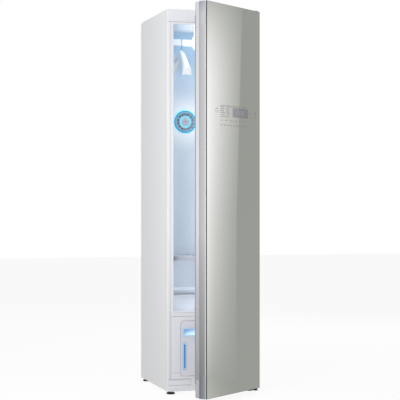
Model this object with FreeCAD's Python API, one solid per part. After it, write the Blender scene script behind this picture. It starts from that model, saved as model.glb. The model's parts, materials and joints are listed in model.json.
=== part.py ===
import FreeCAD, Part
import math
import os

# Clothes care steam cabinet, in millimetres.
# X runs to the right, Y to the back and Z up. The origin lies on the floor, midway between the four feet.

vec = FreeCAD.Vector
right_way, back_way, up_way = vec(1, 0, 0), vec(0, 1, 0), vec(0, 0, 1)

# ---- overall sizes ----
overall_width = 445.0
overall_height = 1850.0
body_depth = 515.0
door_gap = 6.0
door_thickness = 64.0
door_ajar_angle = 37.3

# ---- clearances ----
seat_gap = 0.3          # between pieces of different bodies that rest on each other
panel_gap = 1.5         # visible gap round a drawer front or a cover
pin_clearance = 0.05    # radial, in a bush

# ---- casing ----
steel = 1.0
back_steel = 1.2
base_steel = 1.5
top_steel = 1.2
moulding = 3.0
flange_width = 16.5
bend_radius = 4.0
foot_radius = 19.0
foot_disc = 9.0
foot_neck_radius = 8.0
foot_stud_radius = 5.0
foot_inset_side = 24.0
foot_inset_end = 30.0
base_bottom = 16.0
kick_bottom = 18.0
kick_top = 74.0
header_height = 60.0
header_depth = 30.0
lower_cover_width = 113.0
lower_cover_height = 26.0
lower_cover_gap = 0.8
bead_half_length = 165.0
bead_count = 5
louvre_rows = 8

# ---- cavity ----
side_space = 31.0       # from the casing's side to the cavity
rear_space = 50.0
ceiling_drop = 46.0     # from the top to the ceiling
lip_height = 11.0
floor_top = 400.0
floor_rise = 38.0       # the ramp's, towards the rear wall
floor_ramp = 110.0
sill_height = 25.5
sill_round = 7.0
seam_round = 1.5        # along the header's and the lip's facing edges

# ---- air outlet on the rear wall ----
outlet_drop = 462.0     # below the ceiling
light_ring_radius = 53.0
light_ring_band = 7.0
light_ring_depth = 3.5
light_ring_seat = 4.0   # in front of the wall
bezel_rim = 2.0
bezel_depth = 9.0
guard_lip = 3.0
guard_disc_radius = 31.0
guard_disc = 3.0
guard_hub = 18.0
guard_vanes = 14
vane_width = 7.0
vane_pitch = 40.0
bore_margin = 2.0       # radial, outside the guard's lip
grille_side = 74.5      # from the cavity's side to the grille's slot
duct_depth = 39.5
duct_over_outlet = 78.0
duct_under_floor = 13.0
duct_wall = 2.0
impeller_tip_gap = 4.0
impeller_hub = 17.0
impeller_depth = 16.0
impeller_blades = 11
fan_shaft = 3.0

# ---- hanger rail and its drive ----
rail_behind_middle = 17.5
rail_drop = 65.0        # below the ceiling
rail_height = 33.0
rail_thickness = 10.0
rail_end_gap = 19.5
arm_half_width = 28.0
arm_drop = 49.0         # below the rail's top
arm_thickness = 14.0
neck_half_width = 18.0
neck_thickness = 12.0
rail_stroke = 12.0
carriage_half_length = 44.0
carriage_half_width = 24.0
carriage_plate = 3.0
hook_pitch = 46.0
ridge_height = 1.5
crank_disc_radius = 19.0
crank_disc = 4.2
crank_pin_radius = 3.0
crank_pin_length = 4.4
drive_height = 38.0
drive_wall = 2.5
drive_half_width = 62.0
drive_half_depth = 46.0

# ---- hanger ----
hanger_side = -83.0
hanger_bow = 29.0       # of the tips, to the left
hanger_end_gap = 17.0
hook_wire = 2.0
hook_radius = 14.0
hanger_neck_drop = 58.0     # below the rail's top
hanger_tip_drop = 84.0
hanger_tip_height = 60.0
hanger_neck_height = 46.0
hanger_neck_half = 11.0
hanger_tip_half = 24.0
hanger_wall = 3.0

# ---- shelf ----
shelf_height = 651.0
shelf_wire = 3.5
shelf_cross_wire = 1.6
shelf_pitch = 30.0
shelf_rail_height = 19.0
shelf_rail_thickness = 8.0
shelf_bar_step = 4      # pitches between the thick bars
shelf_front = 60.0
shelf_rear_gap = 25.0
peg_radius = 6.0
peg_reach = 9.0

# ---- lower front and water tanks ----
tray_side_margin = 48.0
tray_over_kick = 12.5
tray_under_sill = 20.8
tray_corner = 17.0
tank_between = 2.0
tank_front_wall = 4.0
tank_front_rim = 3.0
tank_front_depth = 24.0
tank_depth = 128.0
tank_wall = 2.0
tank_foot_gap = 9.5     # from the opening's edge to the tank's bottom
tank_head_gap = 31.7
tank_side_gap = 4.5
tank_rear_gap = 18.0
tank_lid = 6.0
grip_drop = 41.7        # below the opening's top
grip_height = 29.0
grip_inset = 16.0
grip_depth = 20.0
gauge_rise = 30.0       # above the tank's bottom
gauge_height = 114.0
gauge_width = 8.0
bay_wall = 2.5
bay_side_gap = 1.2
tank_rail_height = 3.0
port_radius = 5.0
port_rise = 30.0
hose_radius = 6.0

# ---- lint filter ----
filter_half_width = 60.0
filter_front = 45.0
filter_back = 135.0
filter_depth = 26.0
filter_wall = 2.0

# ---- machine room ----
inlet_width = 30.0
inlet_height = 24.0
inlet_side = 15.5
inlet_low = 52.0
pump_base = 24.0
pump_spout = 26.0
pump_inlet_top = 46.0
pump_outlet = 34.5
compressor_radius = 58.0
compressor_height = 130.0
blower_radius = 72.0
blower_height = 74.0
coil_depth = 30.0
coil_pitch = 46.0
coil_bottom = 170.0
generator_length = 96.0
generator_bottom = 128.0
generator_top = 196.0
control_height = 130.0
control_depth = 108.0
feed_height = 150.0

# ---- door ----
door_foot_gap = 7.0     # above the base's underside
door_head_gap = 3.0
hinge_inset = 20.0
hinge_behind_glass = 14.0
hinge_pin = 4.0
hinge_plate = 2.4
hinge_grip = 17.0
glass_thickness = 5.0
glass_bevel = 1.6
carrier_thickness = 2.0
carrier_inset = 1.2
trim_width = 8.5
liner_depth = 22.0
liner_skin = 2.5
liner_recess = 12.0
liner_border = 54.5
liner_ribs = 4
cap_bar = 20.0
cap_leg = 110.0
display_left = 72.5     # from the door's left edge
display_right = 36.5
display_drop = 449.0    # below the door's top
display_height = 110.0
gasket_width = 14.0
gasket_chamfer = 17.0
gasket_over_header = 8.0

# ---- derived places: casing and cavity ----
half = overall_width / 2
front = -body_depth / 2
back = body_depth / 2
top_underside = overall_height - top_steel
inside_half = half - steel
inside_back = back - back_steel
flange_edge = half - flange_width
foot_x = half - foot_inset_side
foot_y = back - foot_inset_end
base_top = base_bottom + base_steel
header_bottom = overall_height - header_height
lip_bottom = header_bottom - lip_height
ceiling_height = overall_height - ceiling_drop
ceiling_top = ceiling_height + moulding
cavity_half_width = half - side_space
wall_outer = cavity_half_width + moulding
cavity_depth = body_depth - rear_space
cavity_back = front + cavity_depth
sill_bottom = floor_top - sill_height
floor_back = floor_top + floor_rise
outlet_height = ceiling_height - outlet_drop
bezel_radius = light_ring_radius + bezel_rim
guard_radius = light_ring_radius - light_ring_band
outlet_bore = guard_radius + bore_margin
impeller_radius = outlet_bore - impeller_tip_gap
duct_top = outlet_height + duct_over_outlet
duct_bottom = floor_back - duct_under_floor
grille_half = cavity_half_width - grille_side
duct_half_width = grille_half + 4
nozzle_half = grille_half - 37

# ---- derived places: rail, hanger and shelf ----
rail_setback = cavity_depth / 2 + rail_behind_middle
rail_y = front + rail_setback
rail_top = ceiling_height - rail_drop
rail_radius = rail_thickness / 2
rail_half_length = cavity_half_width - rail_end_gap
swing_height = rail_top - rail_radius
arm_foot = rail_top - arm_drop
carriage_low = ceiling_top + seat_gap
crank_low = carriage_low + carriage_plate + seat_gap + crank_pin_length
hanger_neck_top = rail_top - hanger_neck_drop
hanger_half_span = cavity_depth - rail_setback - hanger_end_gap
shelf_back = cavity_depth - shelf_rear_gap

# ---- derived places: tanks and machine room ----
tray_opening_half = flange_edge - tray_side_margin
tray_opening_bottom = kick_top + tray_over_kick
tray_opening_top = sill_bottom - tray_under_sill
tank_width = (2 * (tray_opening_half - panel_gap) - 2 * tank_between) / 3
tank_shell_bottom = tray_opening_bottom + tank_foot_gap
tank_shell_top = tray_opening_top - tank_head_gap
tank_shell_front = front + tank_front_depth
tank_shell_back = tank_shell_front + tank_depth
grip_top = tray_opening_top - grip_drop
grip_bottom = grip_top - grip_height
gauge_bottom = tank_shell_bottom + gauge_rise
gauge_top = gauge_bottom + gauge_height
port_height = tank_shell_bottom + port_rise
bay_floor = tank_shell_bottom - tank_rail_height
bay_front = tank_shell_front + 0.5
bay_back = tank_shell_back + tank_rear_gap
bay_right = -tray_opening_half + panel_gap + 2 * tank_width + tank_between + bay_side_gap + bay_wall
pump_y = bay_back + 44
coil_y = pump_y + 61.5
compressor_x, compressor_y = inside_half - 103.5, back - 107.5
blower_x, blower_y = -compressor_x, back - 81.5
generator_x = (bay_right + 28.8, inside_half - 37.5)
generator_y = (front + 24, front + 24 + generator_length)
control_x = (bay_right + 10.8, inside_half - 17.5)
control_top = sill_bottom - 12.5
steam_port = (sum(generator_x) / 2, front + 70)
feed_x = generator_x[0] + 16
drain_x, drain_y = bay_right + 19.8, bay_back - 12.5
inlet_left = -inside_half + inlet_side

# ---- derived places: door ----
door_bottom = base_bottom + door_foot_gap
door_top = overall_height - door_head_gap
door_back = front - door_gap
door_front = door_back - door_thickness
glass_back = door_front + glass_thickness
carrier_back = glass_back + carrier_thickness
frame_back = door_back - liner_depth
hinge_x = half - hinge_inset
hinge_y = door_front + hinge_behind_glass
hinge_plate_low = overall_height - hinge_plate
gasket_bottom = kick_top
gasket_top = header_bottom + gasket_over_header


# ---- shape helpers ----
def block(x, y, z):
    return Part.makeBox(x[1] - x[0], y[1] - y[0], z[1] - z[0], vec(x[0], y[0], z[0]))


def straight_edges(shape, way, keep=lambda place: True):
    found = []
    for edge in shape.Edges:
        if len(edge.Vertexes) != 2:
            continue
        start, end = edge.Vertexes[0].Point, edge.Vertexes[1].Point
        run = (end - start).normalize()
        if abs(abs(run.dot(way)) - 1) < 1e-6 and keep((start + end) * 0.5):
            found.append(edge)
    return found


def rounded(shape, radius, way, keep=lambda place: True):
    return shape.makeFillet(radius, straight_edges(shape, way, keep))


def cylinder(radius, length, base, way=up_way):
    return Part.makeCylinder(radius, length, base, way)


def ring(outer, inner, length, base, way=up_way):
    return cylinder(outer, length, base, way).cut(cylinder(inner, length, base, way))


def prism(points, run):
    face = Part.Face(Part.makePolygon([vec(*p) for p in points] + [vec(*points[0])]))
    return face.extrude(run)


def mirrored(shape):
    return shape.mirror(vec(0, 0, 0), right_way)


def fused(shapes):
    whole = shapes[0].fuse(shapes[1:]) if len(shapes) > 1 else shapes[0]
    return whole.removeSplitter()


def route(points, bend):
    """Straight runs joined by tangent arcs, as edges."""
    places = [vec(*p) for p in points]
    edges, start = [], places[0]
    for before, corner, after in zip(places, places[1:], places[2:]):
        into, out = (corner - before).normalize(), (after - corner).normalize()
        half_turn = math.acos(max(-1, min(1, into.dot(out)))) / 2
        reach = bend * math.tan(half_turn)
        arc_start, arc_end = corner - into * reach, corner + out * reach
        middle_way = (out - into).normalize()
        centre = corner + middle_way * (bend / math.cos(half_turn))
        edges.append(Part.LineSegment(start, arc_start).toShape())
        edges.append(Part.Arc(arc_start, centre - middle_way * bend, arc_end).toShape())
        start = arc_end
    edges.append(Part.LineSegment(start, places[-1]).toShape())
    return edges


def round_bar(edges, radius):
    """A bar of round section: a cylinder along each straight edge, a piece of a torus along each arc."""
    pieces = []
    for edge in edges:
        start, way = edge.valueAt(edge.FirstParameter), edge.tangentAt(edge.FirstParameter)
        disc = Part.Face(Part.Wire(Part.Circle(start, way, radius).toShape()))
        if isinstance(edge.Curve, Part.Line):
            pieces.append(disc.extrude(edge.valueAt(edge.LastParameter) - start))
        else:
            turn = math.degrees(edge.Length / edge.Curve.Radius)
            pieces.append(disc.revolve(edge.Curve.Center, (start - edge.Curve.Center).cross(way), turn))
    return fused(pieces)


def tube(points, radius, bend):
    return round_bar(route(points, bend), radius)


def save(name, *solids):
    shape = solids[0] if len(solids) == 1 else Part.makeCompound(list(solids))
    shape.exportStep("parts/" + name + ".step")


def hang_door(shape):
    """Turns a door piece from closed to the ajar rest position."""
    return shape.rotated(vec(hinge_x, hinge_y, 0), up_way, door_ajar_angle)


# ---- casing ----
def left_side_panel():
    height = (base_bottom, top_underside)
    outer = block((-half, -flange_edge), (front, inside_back), height)
    outer = rounded(outer, bend_radius, up_way, lambda p: p.x < -half + 1 and p.y < 0)
    inner = block((-inside_half, 0), (front + steel, back), (0, overall_height))
    inner = rounded(inner, bend_radius - steel, up_way, lambda p: p.x < -half + 2 and p.y < 0)
    panel = outer.cut(inner)
    for low, high in ((0, kick_top), (header_bottom, overall_height)):
        panel = panel.cut(block((-half - 1, half), (front - 1, front + bend_radius), (low, high)))
    return panel


def back_panel():
    panel = block((-half, half), (inside_back, back), (base_bottom, top_underside))
    bead_depth, bead_half, reach = 1.0, 6.0, min(bead_half_length, half - 40)
    lowest, highest = floor_top + 120, top_underside - 148.8
    beads, troughs = [], []
    for number in range(bead_count):
        height = lowest + number * (highest - lowest) / (bead_count - 1)
        bead = block((-reach, reach), (inside_back - bead_depth, back - bead_depth),
                     (height - bead_half, height + bead_half))
        trough = block((-reach + 1, reach - 1), (back - bead_depth, back),
                       (height - bead_half + 1, height + bead_half - 1))
        beads.append(rounded(bead, bead_half - 0.5, back_way))
        troughs.append(rounded(trough, bead_half - 1.5, back_way))
    louvres = []
    for row in range(louvre_rows):
        for side in (-1, 1):
            near, far, height = 26, half - 72.5, kick_top + 50 + row * 15
            x = tuple(sorted((side * near, side * far)))
            louvres.append(block(x, (inside_back - 2, back + 1), (height - 2.5, height + 2.5)))
    left, right, low, high = inlet_outline(seat_gap)
    hole = block((left, right), (inside_back - 1, back + 1), (low, high))
    return panel.fuse(beads).cut(Part.makeCompound(troughs)).cut(Part.makeCompound(louvres + [hole]))


def top_cover():
    cover = block((-half, half), (front, back), (top_underside, overall_height))
    cover = rounded(cover, bend_radius, up_way)
    rim_front, t = front + header_depth + 2, top_steel
    rim = block((-inside_half, inside_half), (rim_front, inside_back), (top_underside - 12, top_underside))
    hollow = block((-inside_half + t, inside_half - t), (rim_front + t, inside_back - t),
                   (top_underside - 13, top_underside))
    notch = block((hinge_x - 32, hinge_x + 14), (front - 1, front + 46), (hinge_plate_low, overall_height + 1))
    return cover.fuse(rim.cut(hollow)).cut(notch).removeSplitter()


def base_pan():
    outer = block((-inside_half, inside_half), (front + moulding, inside_back), (base_bottom, base_bottom + 26))
    inner = block((-inside_half + base_steel, inside_half - base_steel),
                  (front + moulding + base_steel, inside_back - base_steel), (base_top, base_bottom + 27))
    pan = outer.cut(inner)
    rib_half, rib_front = inside_half - 36.5, pump_y + pump_base + 1.5
    for x, y in (((-rib_half, rib_half), (rib_front, rib_front + 22)),
                 ((-tray_opening_half + 18, bay_right - 15.2), (front + 62, front + 122))):
        t = base_steel
        raised = rounded(block(x, y, (base_bottom + 1, base_top + 5)), 8, up_way)
        pressed = block((x[0] + t, x[1] - t), (y[0] + t, y[1] - t), (base_bottom - 1, base_top + 3.5))
        pan = pan.fuse(raised).cut(rounded(pressed, 6.5, up_way))
    for x in (-foot_x, foot_x):
        for y in (-foot_y, foot_y):
            pan = pan.fuse(cylinder(9, 9, vec(x, y, base_top)))
            pan = pan.cut(cylinder(foot_stud_radius + 0.2, 14, vec(x, y, base_bottom - 2)))
    return pan.removeSplitter()


def levelling_feet():
    feet = []
    for x in (-foot_x, foot_x):
        for y in (-foot_y, foot_y):
            disc = cylinder(foot_radius, foot_disc - 1.5, vec(x, y, 0))
            dome = Part.makeCone(foot_radius, foot_neck_radius + 4, 1.5, vec(x, y, foot_disc - 1.5))
            neck = cylinder(foot_neck_radius, base_bottom - foot_disc, vec(x, y, foot_disc))
            stud = cylinder(foot_stud_radius, 16, vec(x, y, base_bottom))
            feet.append(fused([disc, dome, neck, stud]))
    return feet


def front_header():
    plate = block((-half, half), (front, front + moulding), (header_bottom, top_underside))
    plate = rounded(plate, moulding - 0.2, up_way, lambda p: p.y < front + 1)
    shell = block((-inside_half, inside_half), (front, front + header_depth), (header_bottom, top_underside))
    hollow = block((-inside_half + moulding, inside_half - moulding), (front + moulding, front + header_depth + 1),
                   (header_bottom + moulding, top_underside - moulding))
    header = plate.fuse(shell.cut(hollow))
    notch = block((hinge_x - 32, hinge_x + 14), (front - 1, front + header_depth + 1),
                  (hinge_plate_low, overall_height))
    lip_room = block((-inside_half, inside_half), (front + moulding, front + header_depth + 1),
                     (header_bottom - 1, ceiling_top))
    header = header.cut(notch).cut(lip_room).removeSplitter()
    return rounded(header, seam_round, right_way, lambda p: p.y < front + 0.1 and p.z < header_bottom + 0.1)


def kick_panel():
    plate = block((-half, half), (front, front + moulding), (kick_bottom, kick_top))
    plate = rounded(plate, moulding - 0.2, up_way, lambda p: p.y < front + 1)
    x, z = lower_cover_window()
    window = rounded(block(x, (front - 1, front + moulding + 1), z), 3, back_way)
    plate = plate.cut(window)
    grooves = [block((-half + 6, half - 6), (front - 1, front + 1), (z, z + 2)) for z in (26, 34)]
    return plate.cut(Part.makeCompound(grooves))


def lower_cover_window():
    left = -half + 4.5
    return (left, left + lower_cover_width), (kick_top - 4 - lower_cover_height, kick_top - 4)


def lower_cover():
    """A flush plate whose two tongues catch behind the kick panel, with a latch groove at its right."""
    (left, right), (low, high) = lower_cover_window()
    gap, behind = lower_cover_gap, front + moulding
    plate = block((left + gap, right - gap), (front + 0.4, behind), (low + gap, high - gap))
    plate = rounded(plate, 3 - gap, back_way)
    tongues = [block((x - 5, x + 5), (behind, behind + 2), (high - 6, high + 3)) for x in (left + 28, right - 30)]
    latch = block((right - 11, right - 7), (front - 1, front + 1.2), (low + 7, high - 7))
    return plate.fuse(tongues).cut(rounded(latch, 1.8, back_way)).removeSplitter()


# ---- cavity ----
def liner_left():
    wall = block((-wall_outer, -cavity_half_width), (front, cavity_back), (sill_bottom, ceiling_height))
    flange = block((-flange_edge, -cavity_half_width), (front, front + moulding), (sill_bottom, header_bottom))
    above = block((-half, 0), (front - 1, front + 2 * moulding), (header_bottom, overall_height))
    edge_room = block((-half, 0), (front - 1, front + moulding), (0, sill_bottom))
    liner = wall.fuse(flange).cut(above).cut(edge_room)
    liner = rounded(liner, 2.5, up_way, lambda p: abs(p.x + cavity_half_width) < 0.1 and p.y < front + 1)
    peg_height = shelf_height - shelf_wire - seat_gap - peg_radius
    pegs = [cylinder(peg_radius, peg_reach, vec(-cavity_half_width, front + y, peg_height), right_way)
            for y in (shelf_front + 40, shelf_back - 40)]
    return liner.fuse(pegs).removeSplitter()


def liner_back():
    panel = block((-wall_outer, wall_outer), (cavity_back, cavity_back + moulding), (sill_bottom, ceiling_height))
    outlet = cylinder(outlet_bore, 12, vec(0, cavity_back - 4, outlet_height), back_way)
    slot = rounded(block((-grille_half - 1, grille_half + 1), (cavity_back - 1, cavity_back + 5),
                         (floor_back + 3, floor_back + 17)), 3, back_way)
    nozzle = block((-nozzle_half, nozzle_half), (cavity_back - 1, cavity_back + 5),
                   (floor_back + 23, floor_back + 37))
    return panel.cut(outlet).cut(slot).cut(nozzle)


def ceiling_panel():
    panel = block((-wall_outer, wall_outer), (front + moulding, cavity_back + moulding), (ceiling_height, ceiling_top))
    lip = block((-cavity_half_width, cavity_half_width), (front + moulding, front + 2 * moulding),
                (lip_bottom, ceiling_height))
    face = block((-cavity_half_width, cavity_half_width), (front, front + moulding), (lip_bottom, header_bottom))
    slot = rounded(block((-neck_half_width - rail_stroke - 2, neck_half_width + rail_stroke + 2),
                         (rail_y - neck_thickness / 2 - 2, rail_y + neck_thickness / 2 + 2),
                         (ceiling_height - 1, ceiling_top + 1)), 7.9, up_way)
    sensor_hole = cylinder(7.2, 5, vec(60, cavity_back - 30, ceiling_height - 1))
    panel = panel.fuse([lip, face]).cut(slot).cut(sensor_hole).removeSplitter()
    panel = rounded(panel, seam_round, right_way, lambda p: p.y < front + 0.1 and p.z > header_bottom - 0.1)
    return rounded(panel, 2.5, right_way, lambda p: p.y < front + 0.1 and p.z < lip_bottom + 0.1)


def cavity_floor():
    y, t = front, moulding
    above = [(y, sill_bottom), (y, floor_top), (cavity_back - floor_ramp, floor_top),
             (cavity_back - 8, floor_back), (cavity_back, floor_back)]
    below = [(cavity_back, floor_back - t), (cavity_back - 7, floor_back - t),
             (cavity_back - floor_ramp + 1, floor_top - t), (y + t, floor_top - t), (y + t, sill_bottom)]
    floor = prism([(-cavity_half_width, *place) for place in above + below], vec(2 * cavity_half_width, 0, 0))
    floor = rounded(floor, sill_round, right_way, lambda p: p.y < y + 0.1 and p.z > floor_top - 0.1)
    floor = rounded(floor, sill_round - t, right_way,
                    lambda p: p.y < y + t + 0.1 and abs(p.z - floor_top + t) < 0.1)
    well = block((-filter_half_width - 3, filter_half_width + 3), (y + filter_front - 3, y + filter_back + 3),
                 (floor_top - filter_depth - 4, floor_top - 0.5))
    mouth = block((-filter_half_width, filter_half_width), (y + filter_front, y + filter_back),
                  (floor_top - filter_depth - 1, floor_top + 1))
    air_hole = block((-filter_half_width + 8, filter_half_width - 8), (y + filter_front + 8, y + filter_back - 8),
                     (floor_top - filter_depth - 5, floor_top))
    floor = floor.fuse(well).cut(rounded(mouth, 8, up_way)).cut(air_hole)
    sump = cylinder(port_radius, 20, vec(drain_x, drain_y, floor_top - 15))
    return floor.cut(sump).removeSplitter()


def insulation_boards():
    inner, outer = front + bend_radius + 0.5, inside_back - back_steel
    side = block((-inside_half, -wall_outer), (inner, outer), (sill_bottom + 1, top_underside - 13))
    side = side.cut(block((-half, 0), (front, front + header_depth + 3.5), (header_bottom - 0.5, overall_height)))
    rear = block((-wall_outer, wall_outer), (cavity_back + moulding, outer), (sill_bottom + 1, ceiling_height))
    air_room = block((-duct_half_width - 0.5, duct_half_width + 0.5),
                     (cavity_back, cavity_back + moulding + duct_depth + 0.5), (sill_bottom, duct_top + 0.5))
    return [side, mirrored(side), rear.cut(air_room)]


def rear_duct():
    y = cavity_back + moulding
    outer = block((-duct_half_width, duct_half_width), (y, y + duct_depth), (duct_bottom, duct_top))
    outer = rounded(outer, 20, back_way)
    inner_half = duct_half_width - duct_wall
    inner = block((-inner_half, inner_half), (y - 1, y + duct_depth - duct_wall),
                  (duct_bottom + duct_wall, duct_top - duct_wall))
    inner = rounded(inner, 18, back_way)
    return outer.cut(inner)


def outlet_bezel():
    """Rim, channel for the outer light ring, lip and pitched guard vanes, turned about the outlet's axis."""
    y, inner, outer = cavity_back, guard_radius, light_ring_radius
    seat, tip, bore = y - light_ring_seat, y - bezel_depth, outlet_bore - 0.2
    profile = [(bezel_radius, y), (bezel_radius, seat - 2), (outer + 1, seat - 3), (outer, seat - 3),
               (outer, seat), (inner, seat), (inner, tip + 1), (inner - 1, tip), (inner - guard_lip, tip),
               (inner - guard_lip, y + 1), (bore, y + 1), (bore, y)]
    points = [vec(r, depth, 0) for r, depth in profile]
    rim = Part.Face(Part.makePolygon(points + [points[0]])).revolve(vec(0, 0, 0), back_way, 360)
    disc = cylinder(guard_disc_radius, guard_disc, vec(0, y - 2 * guard_disc, 0), back_way)
    hub = cylinder(guard_hub, bezel_depth - guard_disc - 0.5, vec(0, tip + 0.5, 0), back_way)
    hub = hub.makeFillet(1.5, [e for e in hub.Edges if abs(e.CenterOfMass.y - tip - 0.5) < 1e-6])
    screw_seat = cylinder(3.2, 2.5, vec(0, tip, 0), back_way)
    vane = block((guard_disc_radius - 0.8, inner - guard_lip + 1), (-0.7, 0.7),
                 (-vane_width / 2, vane_width / 2))
    vane = vane.rotated(vec(0, 0, 0), right_way, vane_pitch).translated(vec(0, y - 1.5 * guard_disc, 0))
    vanes = [vane.rotated(vec(0, 0, 0), back_way, number * 360 / guard_vanes) for number in range(guard_vanes)]
    return fused([rim, disc, hub] + vanes).cut(screw_seat).translated(vec(0, 0, outlet_height))


def outlet_light_ring():
    """One glowing ring in the rim's channel and one on the guard's disc, round its hub."""
    def glowing(outer, inner, depth, seat):
        return ring(outer, inner, depth, vec(0, seat - depth, outlet_height), back_way)
    rim_seat, disc_seat = cavity_back - light_ring_seat, cavity_back - 2 * guard_disc
    rim_ring = glowing(light_ring_radius - 0.1, guard_radius + 0.1, light_ring_depth, rim_seat)
    hub_ring = glowing(guard_disc_radius - 1, guard_hub + 0.3, 2.2, disc_seat)
    return [rim_ring, hub_ring]


def fan_impeller():
    y = cavity_back + 6
    centre = vec(0, y, outlet_height)
    hub = cylinder(impeller_hub, impeller_depth, centre, back_way)
    hub = hub.cut(cylinder(fan_shaft + pin_clearance, impeller_depth - 4, centre + vec(0, 4, 0), back_way))
    blade = block((impeller_hub - 3, impeller_radius), (-0.8, 0.8), (-8, 8))
    blade = blade.rotated(vec(0, 0, 0), right_way, 32)
    blades = []
    for number in range(impeller_blades):
        turned = blade.rotated(vec(0, 0, 0), back_way, number * 360 / impeller_blades)
        blades.append(turned.translated(centre + vec(0, impeller_depth / 2, 0)))
    return fused([hub] + blades)


def fan_motor():
    y = cavity_back + moulding + duct_depth - duct_wall
    can_length = 11.0
    can = cylinder(24, can_length, vec(0, y - can_length, outlet_height), back_way)
    boss = cylinder(9, 1.5, vec(0, y - can_length - 1.5, outlet_height), back_way)
    shaft = cylinder(fan_shaft, can_length + 14, vec(0, y - can_length - 13, outlet_height), back_way)
    shaft = shaft.common(cylinder(20, can_length + 14, vec(0, y - can_length - 13, outlet_height), back_way))
    return fused([can, boss, shaft.cut(block((-50, 50), (y, y + 50), (0, 3000)))])


def rear_grille():
    y, z, x = cavity_back, floor_back, grille_half
    plate = rounded(block((-x - 5, x + 5), (y - 1.5, y), (z + 0.5, z + 19)), 2, back_way)
    frame = rounded(block((-x, x), (y - 1.5, y + moulding), (z + 4, z + 16)), 2, back_way)
    grille = plate.fuse(frame)
    slots = [block((-x + 3, x - 3), (y - 3, y + moulding + 1), (z + s, z + s + 2.2)) for s in (5.4, 8.9, 12.4)]
    return grille.cut(Part.makeCompound(slots)).removeSplitter()


def steam_outlet():
    y, z, x = cavity_back, floor_back, grille_half + 8
    hood = block((-x, x), (y - 9, y), (z + 20, z + 44))
    hood = rounded(hood, 4, back_way)
    hood = rounded(hood, 5, right_way, lambda p: p.y < y - 8.9 and p.z > z + 42)
    gap = seat_gap
    spigot = block((-nozzle_half + gap, nozzle_half - gap), (y, y + moulding), (z + 23 + gap, z + 37 - gap))
    pitch = (nozzle_half - 20) / 2.5
    places = [(n - 2.5) * pitch for n in range(6)]
    jets = [block((place - 7, place + 7), (y - 10, y + 4), (z + 23.8, z + 26.3)) for place in places]
    return hood.fuse(spigot).cut(Part.makeCompound(jets)).removeSplitter()


def header_lamp_lens():
    lens_half = cavity_half_width - 41.5
    lens = block((-lens_half, lens_half), (front + 12, front + 40), (ceiling_height - 6, ceiling_height))
    return rounded(lens, 4, right_way, lambda p: p.z < ceiling_height - 5)


def humidity_sensor():
    place = vec(60, cavity_back - 30, ceiling_height - 4)
    cap = Part.makeCone(7, 9, 4, place)
    stem = cylinder(7, moulding + 6, place + vec(0, 0, 4))
    slots = [block((50, 70), (y - 0.7, y + 0.7), (place.z - 1, place.z + 2)) for y in (place.y - 3, place.y + 3)]
    return cap.fuse(stem).cut(Part.makeCompound(slots)).removeSplitter()


# ---- hanger drive ----
def drive_housing():
    def shell(inset, height):
        form = block((-drive_half_width + inset, drive_half_width - inset),
                     (rail_y - drive_half_depth + inset, rail_y + drive_half_depth - inset), height)
        return rounded(form, 10 - inset, up_way)
    outer = shell(0, (ceiling_top, ceiling_top + drive_height))
    inner = shell(drive_wall, (ceiling_top - 1, ceiling_top + drive_height - drive_wall))
    feet = [block((s * drive_half_width - 9, s * drive_half_width + 9), (rail_y - 12, rail_y + 12),
                  (ceiling_top, ceiling_top + 3)) for s in (-1, 1)]
    return outer.fuse(feet).cut(inner).removeSplitter()


def drive_motor():
    top = ceiling_top + drive_height - drive_wall
    can = cylinder(26, 22, vec(0, rail_y, top - 22))
    shaft = cylinder(fan_shaft, top - 22 - crank_low - 1, vec(0, rail_y, crank_low + 1))
    return can.fuse(shaft).removeSplitter()


def drive_crank():
    """Disc with an offset pin above the carriage's slot, and a counterweight opposite the pin."""
    centre = vec(0, rail_y, crank_low)
    disc = cylinder(crank_disc_radius, crank_disc, centre)
    pin = cylinder(crank_pin_radius, crank_pin_length, vec(0, rail_y + rail_stroke, crank_low - crank_pin_length))
    weight = ring(crank_disc_radius, crank_disc_radius - 5, 3, centre - vec(0, 0, 3))
    weight = weight.common(block((-30, 30), (rail_y - 30, rail_y - 4), (crank_low - 5, crank_low)))
    bore = cylinder(fan_shaft + pin_clearance, crank_disc, centre + vec(0, 0, 1))
    return fused([disc, pin, weight]).cut(bore)


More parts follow.
